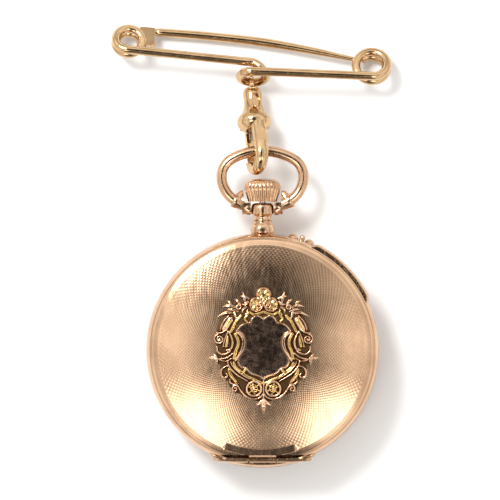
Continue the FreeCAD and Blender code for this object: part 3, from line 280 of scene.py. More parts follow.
# ---- materials ------------------------------------------------------------------------------------
class Shader:
    """A few shorthands for building a material's nodes."""

    def __init__(self, name):
        self.material = bpy.data.materials.new(name)
        self.material.use_nodes = True
        self.tree = self.material.node_tree
        self.surface = self.tree.nodes["Principled BSDF"]
        self.place = self.tree.nodes.new("ShaderNodeTexCoord").outputs["Object"]

    def node(self, kind, **values):
        made = self.tree.nodes.new(kind)
        for name, value in values.items():
            if hasattr(made, name):
                setattr(made, name, value)
            else:
                made.inputs[name.replace("_", " ")].default_value = value
        return made

    def link(self, start, end):
        self.tree.links.new(start, end)

    def feed(self, **inputs):
        """Sets or links inputs of the surface; an underscore in a name stands for a space."""
        for name, value in inputs.items():
            socket = self.surface.inputs[name.replace("_", " ")]
            if isinstance(value, float):
                socket.default_value = value
            else:
                self.link(value, socket)

    def mapped(self, scale, turn=(0.0, 0.0, 0.0)):
        """Object coordinates in millimetres, turned and then stretched."""
        mapping = self.node("ShaderNodeMapping", vector_type="TEXTURE")
        mapping.inputs["Rotation"].default_value = [math.radians(a) for a in turn]
        mapping.inputs["Scale"].default_value = [MM / s for s in scale]
        self.link(self.place, mapping.inputs["Vector"])
        return mapping.outputs["Vector"]

    def noise(self, scale, detail=3.0, roughness=0.55, turn=(0.0, 0.0, 0.0)):
        made = self.node("ShaderNodeTexNoise", Scale=1.0, Detail=detail, Roughness=roughness)
        self.link(self.mapped(scale, turn), made.inputs["Vector"])
        return made.outputs["Fac"]

    def ramp(self, fac, *stops):
        made = self.node("ShaderNodeValToRGB")
        elements = made.color_ramp.elements
        while len(elements) < len(stops):
            elements.new(0.5)
        for element, (place, colour) in zip(elements, stops):
            element.position = place
            element.color = (*colour, 1.0) if not isinstance(colour, float) else (colour, colour, colour, 1.0)
        self.link(fac, made.inputs["Fac"])
        return made.outputs["Color"]

    def cloudy(self, grain, detail, shade, colour):
        """A colour that drifts between two, in patches of the given fineness."""
        return self.ramp(self.noise((grain, grain, grain), detail), (0.3, shade), (0.7, colour))

    def range(self, value, low, high, to_low, to_high):
        made = self.node("ShaderNodeMapRange", From_Min=low, From_Max=high, To_Min=to_low, To_Max=to_high)
        made.clamp = True
        self.link(value, made.inputs["Value"])
        return made.outputs["Result"]

    def math(self, operation, first, second):
        made = self.node("ShaderNodeMath", operation=operation)
        for socket, value in zip(made.inputs, (first, second)):
            if isinstance(value, float):
                socket.default_value = value
            else:
                self.link(value, socket)
        return made.outputs[0]

    def mix(self, fac, first, second, blend="MIX"):
        made = self.node("ShaderNodeMix", data_type="RGBA", blend_type=blend)
        for socket, value in ((made.inputs[0], fac), (made.inputs[6], first), (made.inputs[7], second)):
            if isinstance(value, float):
                socket.default_value = value
            elif isinstance(value, tuple):
                socket.default_value = (*value, 1.0)
            else:
                self.link(value, socket)
        return made.outputs[2]

    def bump(self, height, distance, strength=1.0, normal=None):
        made = self.node("ShaderNodeBump", Strength=strength, Distance=distance * MM)
        self.link(height, made.inputs["Height"])
        if normal is not None:
            self.link(normal, made.inputs["Normal"])
        return made.outputs["Normal"]

    def scratches(self, turns, fine=7.0, threshold=0.60):
        """Thin lines in several directions, from noise stretched along each."""
        total = None
        for turn in turns:
            line = self.noise((0.35, fine, fine), 2.0, 0.5, (0.0, 0.0, turn))
            line = self.range(line, threshold, threshold + 0.10, 0.0, 1.0)
            total = line if total is None else self.math("MAXIMUM", total, line)
        return total


def worn_metal(name, colour, shade, rough=(0.10, 0.22), scratch=0.0009, dent=0.006, patina=0.25, dull=0.12):
    """Polished precious metal: cloudy colour, fine crossing scratches, shallow handling dents."""
    s = Shader(name)
    cloud = s.noise((0.30, 0.30, 0.30), 4.0)
    grime = s.noise((1.6, 1.6, 1.6), 5.0, 0.65)
    base = s.ramp(cloud, (0.32, shade), (0.62, colour))
    stain = s.range(grime, 0.56, 0.78, 0.0, patina)
    base = s.mix(stain, base, tuple(c * 0.55 for c in shade))
    s.feed(Base_Color=base)
    lines = s.scratches((12.0, 58.0, 117.0, 154.0))
    smear = s.noise((2.2, 0.5, 1.0), 3.0)
    roughness = s.range(smear, 0.30, 0.72, rough[0], rough[1])
    roughness = s.math("ADD", roughness, s.math("MULTIPLY", lines, dull))
    s.feed(Roughness=roughness)
    dents = s.bump(s.noise((0.55, 0.55, 0.55), 2.0), dent)
    s.feed(Normal=s.bump(lines, scratch, 0.8, dents))
    s.feed(Metallic=1.0)
    return s.material


def brushed_metal(name, colour, shade, rough=(0.18, 0.34), grain=9.0):
    """Movement parts: fine parallel graining over gilt or steel."""
    s = Shader(name)
    cloud = s.noise((0.8, 0.8, 0.8), 4.0)
    s.feed(Base_Color=s.ramp(cloud, (0.30, shade), (0.66, colour)))
    lines = s.noise((0.25, grain, grain), 3.0, 0.6, (0.0, 0.0, 33.0))
    s.feed(Roughness=s.range(lines, 0.30, 0.70, rough[0], rough[1]))
    s.feed(Normal=s.bump(lines, 0.004, 0.6))
    s.feed(Metallic=1.0)
    return s.material


def cartouche_metal():
    """Two-tone relief: bright rose ridges, green-gold beds and painted shade, mixed in as a near-black
    colour, in the deep places.
    """
    s = Shader("cartouche_two_tone")
    relief = s.node("ShaderNodeAttribute", attribute_name="relief")
    parts = s.node("ShaderNodeSeparateColor")
    s.link(relief.outputs["Color"], parts.inputs["Color"])
    tone, painted_hollow_shade, plate = parts.outputs[0], parts.outputs[1], parts.outputs[2]
    cloud = s.noise((1.2, 1.2, 1.2), 4.0)
    rose = s.ramp(cloud, (0.3, (0.66, 0.40, 0.24)), (0.7, (0.88, 0.60, 0.40)))
    green = s.ramp(cloud, (0.3, (0.52, 0.33, 0.12)), (0.7, (0.80, 0.56, 0.23)))
    base = s.mix(tone, rose, green)
    # painted reflection: the shield plate's base colour is made nearly black, standing for the dark overhead
    # that its flat face reflects
    shield = s.ramp(cloud, (0.3, (0.18, 0.12, 0.085)), (0.7, (0.24, 0.16, 0.115)))
    base = s.mix(plate, base, shield)
    # painted shade: the colour goes to near-black where the relief's hollows hold shade; the same mask also
    # makes them rougher
    base = s.mix(painted_hollow_shade, base, (0.045, 0.020, 0.010))
    s.feed(Base_Color=base)
    lines = s.scratches((8.0, 41.0, 73.0, 102.0, 139.0, 166.0), 8.0, 0.58)
    rough = s.range(cloud, 0.3, 0.7, 0.12, 0.24)
    rough = s.math("ADD", rough, s.math("MULTIPLY", painted_hollow_shade, 0.35))
    rough = s.math("ADD", rough, s.math("MULTIPLY", s.math("MULTIPLY", lines, plate), 0.10))
    s.feed(Roughness=rough)
    s.feed(Normal=s.bump(lines, 0.00025, 0.7))
    s.feed(Metallic=1.0)
    return s.material


def enamel_material():
    s = Shader("dial_enamel")
    s.feed(Base_Color=s.cloudy(0.5, 4.0, (0.80, 0.78, 0.72), (0.88, 0.87, 0.83)))
    s.feed(Roughness=s.range(s.noise((3.0, 3.0, 3.0), 3.0), 0.3, 0.7, 0.08, 0.18))
    s.feed(Normal=s.bump(s.noise((1.4, 1.4, 1.4), 3.0), 0.003))
    s.feed(Coat_Weight=0.5)
    return s.material


def paint_material(name, colour):
    s = Shader(name)
    cloud = s.noise((3.0, 3.0, 3.0), 3.0)
    s.feed(Base_Color=s.ramp(cloud, (0.3, tuple(c * 0.7 for c in colour)), (0.7, colour)))
    s.feed(Roughness=s.range(cloud, 0.3, 0.7, 0.25, 0.4))
    return s.material


def crystal_material():
    s = Shader("crystal_glass")
    s.feed(Roughness=s.range(s.noise((2.5, 2.5, 2.5), 3.0), 0.35, 0.8, 0.0, 0.06))
    s.feed(Base_Color=s.cloudy(0.5, 2.0, (0.96, 0.97, 0.96), (1.0, 1.0, 1.0)))
    s.feed(Transmission_Weight=1.0)
    s.feed(IOR=1.47)
    return s.material


def ruby_material():
    s = Shader("ruby_jewel")
    s.feed(Base_Color=s.cloudy(4.0, 2.0, (0.45, 0.01, 0.05), (0.75, 0.04, 0.12)))
    s.feed(Roughness=s.range(s.noise((6.0, 6.0, 6.0), 2.0), 0.3, 0.7, 0.04, 0.12))
    s.feed(Transmission_Weight=0.4)
    s.feed(IOR=1.76)
    return s.material


BY_SLOT = {
    "rose_gold": worn_metal("rose_gold_polished", (0.66, 0.43, 0.27), (0.54, 0.33, 0.19)),
    "yellow_gold": worn_metal("yellow_gold_polished", (0.66, 0.45, 0.25), (0.52, 0.33, 0.17), (0.06, 0.16)),
    "two_tone_gold": cartouche_metal(),
    "gilt_plate": brushed_metal("gilt_plate_grained", (0.86, 0.66, 0.32), (0.72, 0.50, 0.20)),
    "gilt_wheel": brushed_metal("gilt_wheel_brass", (0.82, 0.60, 0.26), (0.66, 0.45, 0.16), (0.14, 0.26),
                                grain=12.0),
    "spring_steel": brushed_metal("spring_steel_polished", (0.62, 0.62, 0.64), (0.42, 0.43, 0.46),
                                  (0.12, 0.24), grain=12.0),
    "gold_hand": worn_metal("gold_hands", (0.90, 0.68, 0.34), (0.76, 0.54, 0.24), (0.10, 0.2), 0.001, 0.002),
    "enamel": enamel_material(),
    "ruby": ruby_material(),
    "crystal": crystal_material(),
}
ENGINE_TURNED = worn_metal("rose_gold_engine_turned", (0.70, 0.46, 0.29), (0.59, 0.37, 0.23), (0.12, 0.20),
                           scratch=0.00012, dent=0.002, patina=0.2, dull=0.02)
BLACK_PAINT = paint_material("numeral_black", (0.02, 0.018, 0.02))


# ---- studio: floor, light tent and camera ---------------------------------------------------------
def floor():
    bpy.ops.mesh.primitive_plane_add(size=4.0, location=(0.0, 0.0, CAD_LOW[2]))
    obj = bpy.context.object
    obj.name = "floor"
    s = Shader("floor_white")
    s.feed(Base_Color=s.cloudy(0.02, 2.0, (0.90, 0.90, 0.90), (0.92, 0.92, 0.92)))
    s.feed(Roughness=0.9)
    s.feed(Specular_IOR_Level=0.1)
    obj.data.materials.append(s.material)


def direction(azimuth, tilt):
    """Unit vector tilted from straight up towards an azimuth, counted anticlockwise from +X."""
    azimuth = math.radians(azimuth)
    tilt = math.radians(tilt)
    return (math.sin(tilt) * math.cos(azimuth), math.sin(tilt) * math.sin(azimuth), math.cos(tilt))


# boxes of light, or dark cards where the strength is negative:
# azimuth and tilt, radius of the full part and radius where it has faded, in degrees, then strength
TENT = (
    (-47.0, 27.0, 4.0, 12.0, 3.4),
    (-131.0, 26.0, 4.0, 13.0, 3.6),
    (176.0, 21.0, 3.0, 11.0, 1.00),
    (4.0, 22.0, 3.0, 11.0, 0.85),
    (38.0, 28.0, 3.0, 10.0, 0.30),
    (142.0, 27.0, 3.0, 10.0, 0.50),
    (90.0, 16.5, 6.0, 9.5, -0.45),
    (90.0, 42.0, 8.0, 18.0, 0.35),
    (-90.0, 54.0, 18.0, 31.0, -1.0),
    (90.0, 66.0, 6.0, 14.0, -0.6),
    (0.0, 62.0, 4.0, 10.0, -0.6),
    (180.0, 62.0, 4.0, 10.0, -0.6),
)
# brightness of the tent by the cosine of the angle from straight up
TENT_LEVELS = ((0.0, 0.45), (0.12, 0.75), (0.45, 1.38), (0.72, 1.15), (0.86, 0.62), (0.927, 0.46),
               (0.950, 0.30), (0.968, 0.09), (1.0, 0.04))
TENT_DARKEST = 0.03


def light_tent():
    world = bpy.data.worlds.new("light_tent")
    bpy.context.scene.world = world
    world.use_nodes = True
    tree = world.node_tree
    make = tree.nodes.new
    link = tree.links.new
    background = tree.nodes["Background"]
    place = make("ShaderNodeTexCoord").outputs["Generated"]
    split = make("ShaderNodeSeparateXYZ")
    link(place, split.inputs[0])
    levels = make("ShaderNodeValToRGB")
    elements = levels.color_ramp.elements
    while len(elements) < len(TENT_LEVELS):
        elements.new(0.5)
    for element, (cosine, level) in zip(elements, TENT_LEVELS):
        element.position = cosine
        element.color = (level, level, level, 1.0)
    link(split.outputs["Z"], levels.inputs["Fac"])
    total = levels.outputs["Color"]
    for azimuth, tilt, full, faded, strength in TENT:
        dot = make("ShaderNodeVectorMath")
        dot.operation = "DOT_PRODUCT"
        dot.inputs[1].default_value = direction(azimuth, tilt)
        link(place, dot.inputs[0])
        fade = make("ShaderNodeMapRange")
        fade.interpolation_type = "SMOOTHSTEP"
        fade.inputs["From Min"].default_value = math.cos(math.radians(faded))
        fade.inputs["From Max"].default_value = math.cos(math.radians(full))
        fade.inputs["To Min"].default_value = 0.0
        fade.inputs["To Max"].default_value = strength
        link(dot.outputs["Value"], fade.inputs["Value"])
        add = make("ShaderNodeMath")
        add.operation = "ADD"
        link(fade.outputs["Result"], add.inputs[0])
        link(total, add.inputs[1])
        total = add.outputs[0]
    darkest = make("ShaderNodeMath")
    darkest.operation = "MAXIMUM"
    darkest.inputs[1].default_value = TENT_DARKEST
    link(total, darkest.inputs[0])
    link(darkest.outputs[0], background.inputs["Strength"])
    background.inputs["Color"].default_value = (1.0, 0.985, 0.965, 1.0)


def key_light(azimuth, tilt, distance, size, power):
    data = bpy.data.lights.new("softbox", "AREA")
    data.shape = "DISK"
    data.size = size
    data.energy = power
    lamp = bpy.data.objects.new("softbox", data)
    bpy.context.scene.collection.objects.link(lamp)
    way = Vector(direction(azimuth, tilt))
    lamp.location = way * distance
    lamp.rotation_euler = way.to_track_quat("Z", "Y").to_euler()


CAMERA_DISTANCE = 1.2
FRAME_WIDTH = 0.0708
FRAME_CENTRE = (-0.00177, 0.01416)
SENSOR = 36.0


def camera():
    data = bpy.data.cameras.new("camera")
    data.sensor_width = SENSOR
    data.lens = SENSOR * CAMERA_DISTANCE / FRAME_WIDTH
    data.clip_start = 0.05
    obj = bpy.data.objects.new("camera", data)
    bpy.context.scene.collection.objects.link(obj)
    obj.location = (*FRAME_CENTRE, CAMERA_DISTANCE + MIDDLE_Z * MM)
    bpy.context.scene.camera = obj


floor()
light_tent()
key_light(azimuth=128.0, tilt=38.0, distance=0.5, size=0.16, power=1.8)
camera()
bpy.context.scene.view_settings.view_transform = "Standard"


# ---- front lid: engine-turned dome, polished rim, hinge reserve -----------------------------------
DOME_RADIUS = 14.95
DOME_EDGE_Z = 9.35
DOME_TOP_Z = 11.0
SPHERE = (DOME_RADIUS ** 2 + (DOME_TOP_Z - DOME_EDGE_Z) ** 2) / (2 * (DOME_TOP_Z - DOME_EDGE_Z))
LID_LOW = 7.9
LID_WALL = 0.4
RIM_RADIUS = 16.35
TURNS = 144
TURNING_DEPTH = 0.0009
TURNING_START = 4.0
PLAIN_EDGE = 0.12
FADE_WIDTH = 0.30
HINGE_Y = -15.4
HINGE_Z = 7.9
RESERVE_RADIUS = 14.0
RESERVE_HALF_ANGLE = 20.5
RESERVE_MIDDLE = -91.5
RESERVE_SLOPE = 0.07
THUMB_FIRST = 24.5
THUMB_LAST = 64.5
THUMB_FLOOR = 16.0
THUMB_TOP = 8.66


def dome_z(radius):
    return DOME_TOP_Z - SPHERE + np.sqrt(SPHERE ** 2 - np.asarray(radius, float) ** 2)


def angle_gap(angle, middle):
    return np.abs((angle - middle + 180.0) % 360.0 - 180.0)


def turned_rows():
    """Rows of the engine-turned field: two families of spirals cut grooves, and studs stand between.

    Rows are staggered by half a step, so that the mesh's edges follow both families.
    """
    columns = 3 * TURNS
    row_step = math.pi / columns
    count = int(math.log(DOME_RADIUS / TURNING_START) / row_step)
    rows = []
    for n in range(count, -1, -1):
        radius = DOME_RADIUS * math.exp(-row_step * n)
        m = 2 * np.arange(columns) + n % 2
        angle = m * row_step
        first = ((m + n) // 2) % 3
        second = ((m - n) // 2) % 3
        stud = np.where((first == 0) | (second == 0), 0.0, 1.0)
        degrees = np.degrees(angle)
        plain = (radius > RESERVE_RADIUS) & (angle_gap(degrees, RESERVE_MIDDLE) < RESERVE_HALF_ANGLE)
        fade = min(max((DOME_RADIUS - PLAIN_EDGE - radius) / FADE_WIDTH, 0.0), 1.0)
        depth = TURNING_DEPTH * radius * fade * np.where(plain, 0.0, 1.0)
        z = dome_z(radius) + depth * (stud - 0.6)
        z = np.where(plain, dome_z(RESERVE_RADIUS) - RESERVE_SLOPE * (radius - RESERVE_RADIUS), z)
        rows.append(polar(radius, angle, z))
    return np.array(rows), count % 2


def staggered_faces(rows, columns, first_shift):
    """Triangles between rows whose points are shifted by half a step in turn."""
    faces = []
    column = np.arange(columns)
    after = (column + 1) % columns
    for row in range(rows - 1):
        low = row * columns
        high = low + columns
        if (row + first_shift) % 2 == 0:
            up = np.stack([low + column, low + after, high + column], axis=-1)
            down = np.stack([high + column, low + after, high + after], axis=-1)
        else:
            up = np.stack([low + column, high + after, high + column], axis=-1)
            down = np.stack([low + column, low + after, high + after], axis=-1)
        faces.append(up)
        faces.append(down)
    return np.concatenate(faces).tolist()


def front_lid():
    rows, shift = turned_rows()
    count, columns = rows.shape[:2]
    rim = [(14.985, 9.33), (15.03, 9.30), (15.08, 9.295), (15.14, 9.27)]
    rim += arc3((15.22, 9.24), (16.0, 8.78), (RIM_RADIUS, LID_LOW + 0.06), 14)
    rim += [(RIM_RADIUS - 0.03, LID_LOW), (RIM_RADIUS - 0.46, LID_LOW)]
    rim += [(15.86, 8.2), (15.7, 8.62), (15.4, 8.86), (DOME_RADIUS, DOME_EDGE_Z - LID_WALL)]
    rim += [(r, float(dome_z(r)) - LID_WALL) for r in (13.0, 10.0, 6.0, 2.0, 0.02)]
    inner = [(0.02, DOME_TOP_Z), (1.5, float(dome_z(1.5))), (3.0, float(dome_z(3.0)))]
    turn = 2 * math.pi / columns * 0.5 * shift
    outside = spun(rim, columns)
    middle = spun(inner, columns)
    if shift:
        c, d = math.cos(turn), math.sin(turn)
        middle = np.stack([middle[..., 0] * c - middle[..., 1] * d, middle[..., 0] * d + middle[..., 1] * c,
                           middle[..., 2]], axis=-1)
    points = np.concatenate([middle, rows, outside])
    degrees = np.degrees(np.arctan2(points[..., 1], points[..., 0])) % 360.0
    thumb = (degrees > THUMB_FIRST) & (degrees < THUMB_LAST)
    radius = np.hypot(points[..., 0], points[..., 1])
    low = (points[..., 2] < THUMB_TOP) & thumb & (radius > THUMB_FLOOR)
    points[..., :2] *= np.where(low, THUMB_FLOOR / radius, 1.0)[..., None]
    start = len(middle)
    faces = grid_faces(start + 1, columns)
    field = staggered_faces(count, columns, shift)
    faces += [[v + start * columns for v in face] for face in field]
    faces += grid_faces(len(rim) + 1, columns, True, (start + count - 1) * columns)
    total = start + count + len(rim)
    faces.append(list(range(columns))[::-1])
    faces.append(list(range((total - 1) * columns, total * columns)))
    obj = new_object("front_lid_turned", points.reshape(-1, 3), faces)
    trimmed(obj, (0.0, HINGE_Y + 0.65, 0.0), (0.0, -1.0, 0.0))
    finish_piece(obj, "rose_gold", "front_lid", "front_lid", angle=50.0, material=ENGINE_TURNED)


def lid_hinge():
    """The front lid's own knuckle with the leaf that runs up under its edge."""
    half = 1.9
    barrel = tube([(x, HINGE_Y, HINGE_Z) for x in (-half, -half + 0.06, half - 0.06, half)],
                  [0.42, 0.5, 0.5, 0.42], 32)
    outline = [(-14.72, 8.0), (-15.3, 8.25), (-15.3, 8.42), (-14.85, 9.12), (-14.62, 9.12), (-14.62, 8.5)]
    leaf = np.array([[(x, y, z) for y, z in outline] for x in (-half, -half + 0.05, half - 0.05, half)])
    obj = solid("front_lid_knuckle", *merge([skin(barrel), skin(leaf)]))
    finish_piece(obj, "rose_gold", "front_lid", "front_lid")


front_lid()
lid_hinge()


# ---- cartouche: a shield in a wreath of scrolls, modelled as relief -------------------------------
CARTOUCHE_X = 0.14
GRID_STEP = 0.05
RIDGE, BED, PLATE = 0.0, 1.0, 2.0
NOTHING = -0.4
SHIELD_LIFT = 0.13
SHIELD_DOMING = 0.03
SHIELD_EDGE = 0.14
SHIELD_RIM = 0.26


def spiral(centre, outer, inner, turns, start, way=1.0):
    """A scroll's curl: from the outer radius at the start angle, winding in."""
    share = np.linspace(0, 1, int(26 * turns) + 2)
    radius = outer + (inner - outer) * share
    angle = math.radians(start) + way * 2 * math.pi * turns * share
    return np.stack([centre[0] + radius * np.cos(angle), centre[1] + radius * np.sin(angle)], axis=-1)


class Relief:
    """Heights over the lid, built up from rounded strokes, petals and plates, alike left and right."""

    def __init__(self, half_width, low, high):
        across = np.arange(-half_width, half_width + GRID_STEP, GRID_STEP)
        self.gx, self.gy = np.meshgrid(across, np.arange(low, high + GRID_STEP, GRID_STEP))
        self.mirror = np.abs(self.gx)
        self.height = np.full(self.gx.shape, NOTHING)
        self.tone = np.zeros(self.gx.shape)

    def raise_to(self, height, tone):
        higher = height > self.height
        self.height = np.where(higher, height, self.height)
        self.tone = np.where(higher, tone, self.tone)

    def distance(self, points):
        """Distance from each grid point to a line, and how far along it the nearest place is."""
        best = np.full(self.gx.shape, 1e9)
        along = np.zeros(self.gx.shape)
        count = len(points) - 1
        for i in range(count):
            a = points[i]
            d = points[i + 1] - a
            length = max(float(d @ d), 1e-9)
            t = np.clip(((self.mirror - a[0]) * d[0] + (self.gy - a[1]) * d[1]) / length, 0.0, 1.0)
            gap = np.hypot(self.mirror - a[0] - t * d[0], self.gy - a[1] - t * d[1])
            nearer = gap < best
            best = np.where(nearer, gap, best)
            along = np.where(nearer, (i + t) / count, along)
        return best, along

    def stroke(self, points, width, lift, tone=RIDGE, taper=(1.0, 1.0), hollow=0.0):
        """A rounded ridge along a line; taper narrows its two ends, hollow sinks its middle."""
        gap, along = self.distance(np.asarray(points, float))
        w = width * np.interp(along, (0.0, 0.5, 1.0), (taper[0], 1.0, taper[1]))
        share = gap / np.maximum(w, 1e-3)
        body = np.sqrt(np.clip(1.0 - share ** 2, 0.0, 1.0))
        rise = lift * (0.45 + 0.55 * w / width) * (0.35 + 0.65 * body)
        rise -= hollow * np.clip(1.0 - share * 1.6, 0.0, 1.0)
        self.raise_to(np.where(share <= 1.0, rise, NOTHING), tone)

    def curve(self, points, width, lift, *rest):
        """A stroke along a smooth line through the points."""
        self.stroke(curve_points(points, 6), width, lift, *rest)

    def petal(self, centre, radius, lift):
        """A cupped round petal: a bright rolled edge round a sloping hollow."""
        dx = self.mirror - centre[0]
        dy = self.gy - centre[1]
        r = np.hypot(dx, dy) / radius
        edge = lift * np.exp(-((r - 0.80) / 0.15) ** 2)
        cup = lift * (0.50 + 0.16 * np.cos(7 * np.arctan2(dy, dx)) * r)
        inside = np.maximum(edge, cup)
        fall = np.sqrt(np.clip((1.0 - r) / 0.2, 0.0, 1.0))
        rolled = np.where(edge > cup, RIDGE, BED)
        self.raise_to(np.where(r < 1.0, inside * fall, NOTHING), rolled)

    def plate(self, outline, lift, tone):
        """A flat plate with the given half outline and a softened edge."""
        gap, _ = self.distance(np.asarray(outline, float))
        height = lift * (0.5 + 0.5 * np.clip(gap / 0.10, 0.0, 1.0))
        self.raise_to(np.where(self.inside(outline), height, NOTHING), tone)

    def inside(self, outline):
        points = np.asarray(outline, float)
        within = np.zeros(self.gx.shape, bool)
        for (x0, y0), (x1, y1) in zip(points, np.roll(points, -1, axis=0)):
            crosses = (y0 > self.gy) != (y1 > self.gy)
            x = x0 + (self.gy - y0) * (x1 - x0) / (y1 - y0 if y1 != y0 else 1e-9)
            within ^= crosses & (self.mirror < x)
        return within


SHIELD = [(0.0, 4.45), (0.45, 4.78), (0.9, 4.93), (1.38, 4.75), (1.72, 4.35), (1.91, 3.82), (2.3, 3.86),
          (2.75, 3.78), (3.3, 3.46), (3.62, 3.05), (3.87, 2.66), (3.4, 2.62), (3.0, 2.36), (2.7, 1.85),
          (2.55, 1.06), (2.75, 0.2), (3.15, -0.45), (3.58, -1.15), (3.62, -1.6), (3.43, -2.1), (3.05, -2.48),
          (2.75, -2.42), (2.41, -2.54), (2.1, -3.0), (1.6, -3.35), (0.9, -3.55), (0.4, -3.75), (0.0, -4.06)]
WREATH_EDGE = [(0.0, 9.0), (0.8, 8.6), (1.1, 7.7), (2.1, 7.3), (3.0, 7.2), (4.1, 6.9), (4.9, 5.9), (5.6, 5.0),
               (6.3, 3.6), (6.7, 2.6), (7.0, 1.5), (6.6, 0.6), (6.7, -0.3), (7.1, -0.9), (6.8, -1.6),
               (6.1, -2.1), (6.15, -3.2), (5.7, -3.9), (5.0, -4.4), (4.8, -5.2), (4.2, -5.9), (3.2, -6.2),
               (2.2, -6.85), (1.2, -7.1), (0.4, -7.2), (0.0, -7.6)]
ROSETTE = (1.36, -5.42)


def draw_wreath(r):
    r.plate([(0.0, -7.6)] + WREATH_EDGE, 0.05, BED)
    # the flower at the top
    r.petal((0.0, 7.85), 1.12, 0.42)
    r.petal((1.02, 6.45), 1.14, 0.42)
    r.stroke(spiral((0.62, 6.3), 0.42, 0.10, 1.1, 60.0, -1.0), 0.12, 0.42)
    r.curve([(0.0, 7.3), (0.12, 6.9), (0.0, 6.4)], 0.16, 0.34)
    # the scalloped band under it
    r.curve([(0.0, 5.45), (0.65, 5.22), (1.35, 5.08), (2.0, 5.35), (2.5, 5.1)], 0.22, 0.34, BED)
    r.curve([(2.3, 5.7), (2.3, 5.0), (2.7, 4.5), (2.35, 4.1)], 0.20, 0.36, BED, (0.6, 0.8))
    r.stroke([(1.93, 3.95), (1.97, 4.0)], 0.16, 0.46)
    # leaf sprays with their ring bosses
    r.stroke(spiral((3.53, 6.12), 0.30, 0.30, 1.0, 0.0), 0.14, 0.46)
    r.stroke([(3.5, 6.1), (3.56, 6.14)], 0.10, 0.36)
    leaves = (((2.55, 6.6), (2.75, 7.5), (2.95, 8.3)), ((2.1, 7.3), (2.7, 7.55), (3.3, 7.7)),
              ((3.3, 6.5), (3.7, 7.0), (4.05, 7.25)), ((3.95, 6.1), (4.9, 6.35), (5.8, 6.15)),
              ((4.2, 5.3), (5.3, 5.3), (6.5, 4.75)), ((3.7, 5.5), (4.5, 5.8), (5.1, 5.75)),
              ((4.1, 5.4), (4.0, 4.9), (3.8, 4.4)), ((2.5, 6.1), (2.9, 5.8), (3.0, 5.3)),
              ((4.6, 6.3), (4.8, 6.8), (5.2, 7.0)), ((2.2, 6.9), (2.5, 6.5), (3.1, 6.5)))
    for leaf in leaves:
        r.curve(leaf, 0.20, 0.40, RIDGE, (0.7, 0.25), 0.10)
    # the bricks and the thin rail outside them
    r.stroke([(4.72, 4.35), (5.50, 3.05)], 0.42, 0.34)
    r.stroke([(4.82, 4.18), (5.40, 3.22)], 0.24, 0.40, BED)
    r.curve([(4.9, 4.95), (5.6, 4.15), (6.05, 3.2), (6.1, 2.85)], 0.10, 0.38)
    r.curve([(3.2, 4.9), (3.9, 4.1), (4.35, 3.2), (4.6, 2.7)], 0.24, 0.34, BED)
    # spirals and the teardrop loops
    r.curve([(5.5, 2.75), (5.95, 2.5), (6.55, 2.45)], 0.14, 0.40)
    r.stroke(spiral((6.25, 1.60), 0.72, 0.12, 1.7, 75.0, -1.0), 0.13, 0.44)
    r.stroke([(6.22, 1.62), (6.27, 1.58)], 0.16, 0.44)
    r.curve([(5.0, 2.75), (4.55, 1.95), (4.36, 1.1), (4.6, 0.25), (5.2, 0.05)], 0.19, 0.46,
            RIDGE, (0.6, 0.8))
    r.curve([(5.0, 2.7), (5.35, 1.9), (5.6, 1.1), (5.72, 0.5)], 0.12, 0.42)
    r.curve([(5.05, 2.0), (5.15, 1.2), (5.3, 0.6)], 0.26, 0.34, BED, (0.5, 0.9))
    r.curve([(6.6, 0.5), (6.45, -0.15), (5.8, -0.55), (5.0, -0.3), (4.7, 0.0)], 0.15, 0.36)
    # the bright bars that hug the shield
    r.curve([(3.75, 2.55), (3.2, 2.15), (2.86, 1.6), (2.80, 0.95), (3.02, 0.1), (3.55, -0.75),
             (3.95, -1.45)], 0.26, 0.50, RIDGE, (0.7, 0.6))
    r.curve([(4.0, 2.3), (3.62, 1.5), (3.62, 0.7), (3.95, -0.1), (4.15, -1.1)], 0.26, 0.34, BED)
    # stems out to the trefoil leaves
    r.curve([(4.35, -0.4), (5.2, -1.0), (6.2, -1.2), (6.8, -1.2)], 0.12, 0.40)
    r.curve([(4.5, -1.1), (5.3, -1.5), (6.2, -1.35)], 0.10, 0.36)
    for tip in ((7.78, -1.05), (7.10, -0.45), (6.65, -2.0)):
        half_way = ((6.55 + tip[0]) / 2, (tip[1] - 1.2) / 2 + 0.05)
        r.curve([(6.55, -1.2), half_way, tip], 0.22, 0.42, RIDGE, (0.8, 0.25), 0.10)
    # long bars and lower scrolls
    r.curve([(5.1, -1.5), (4.8, -2.35), (3.85, -3.35), (2.3, -4.3)], 0.15, 0.46, RIDGE, (0.8, 0.8))
    r.curve([(4.65, -1.6), (4.3, -2.3), (3.4, -3.15), (2.1, -3.95)], 0.10, 0.40)
    r.curve([(4.2, -1.8), (3.9, -2.4), (3.3, -2.9)], 0.22, 0.32, BED)
    r.curve([(5.0, -2.15), (5.65, -2.4), (6.0, -3.0), (5.85, -3.65), (5.4, -3.85), (5.1, -3.55),
             (5.3, -3.2)], 0.17, 0.44, RIDGE, (0.7, 0.7))
    r.curve([(4.9, -2.7), (4.6, -3.5), (3.9, -4.4)], 0.30, 0.34, BED, (0.7, 0.7))
    r.curve([(3.6, -4.7), (4.3, -4.75), (4.75, -4.4), (4.7, -4.0)], 0.13, 0.40, RIDGE, (0.8, 0.6))
    r.curve([(2.6, -2.75), (2.9, -3.2), (2.3, -3.7), (1.3, -4.1), (0.3, -4.6)], 0.24, 0.36, BED)
    r.stroke(spiral((4.02, -5.40), 0.50, 0.12, 1.3, 150.0, -1.0), 0.12, 0.42)
    r.curve([(4.3, -4.95), (3.7, -4.95), (3.2, -5.7), (2.4, -6.5), (1.4, -6.85), (0.5, -6.6),
             (0.1, -6.1)], 0.15, 0.44, RIDGE, (0.8, 0.8))
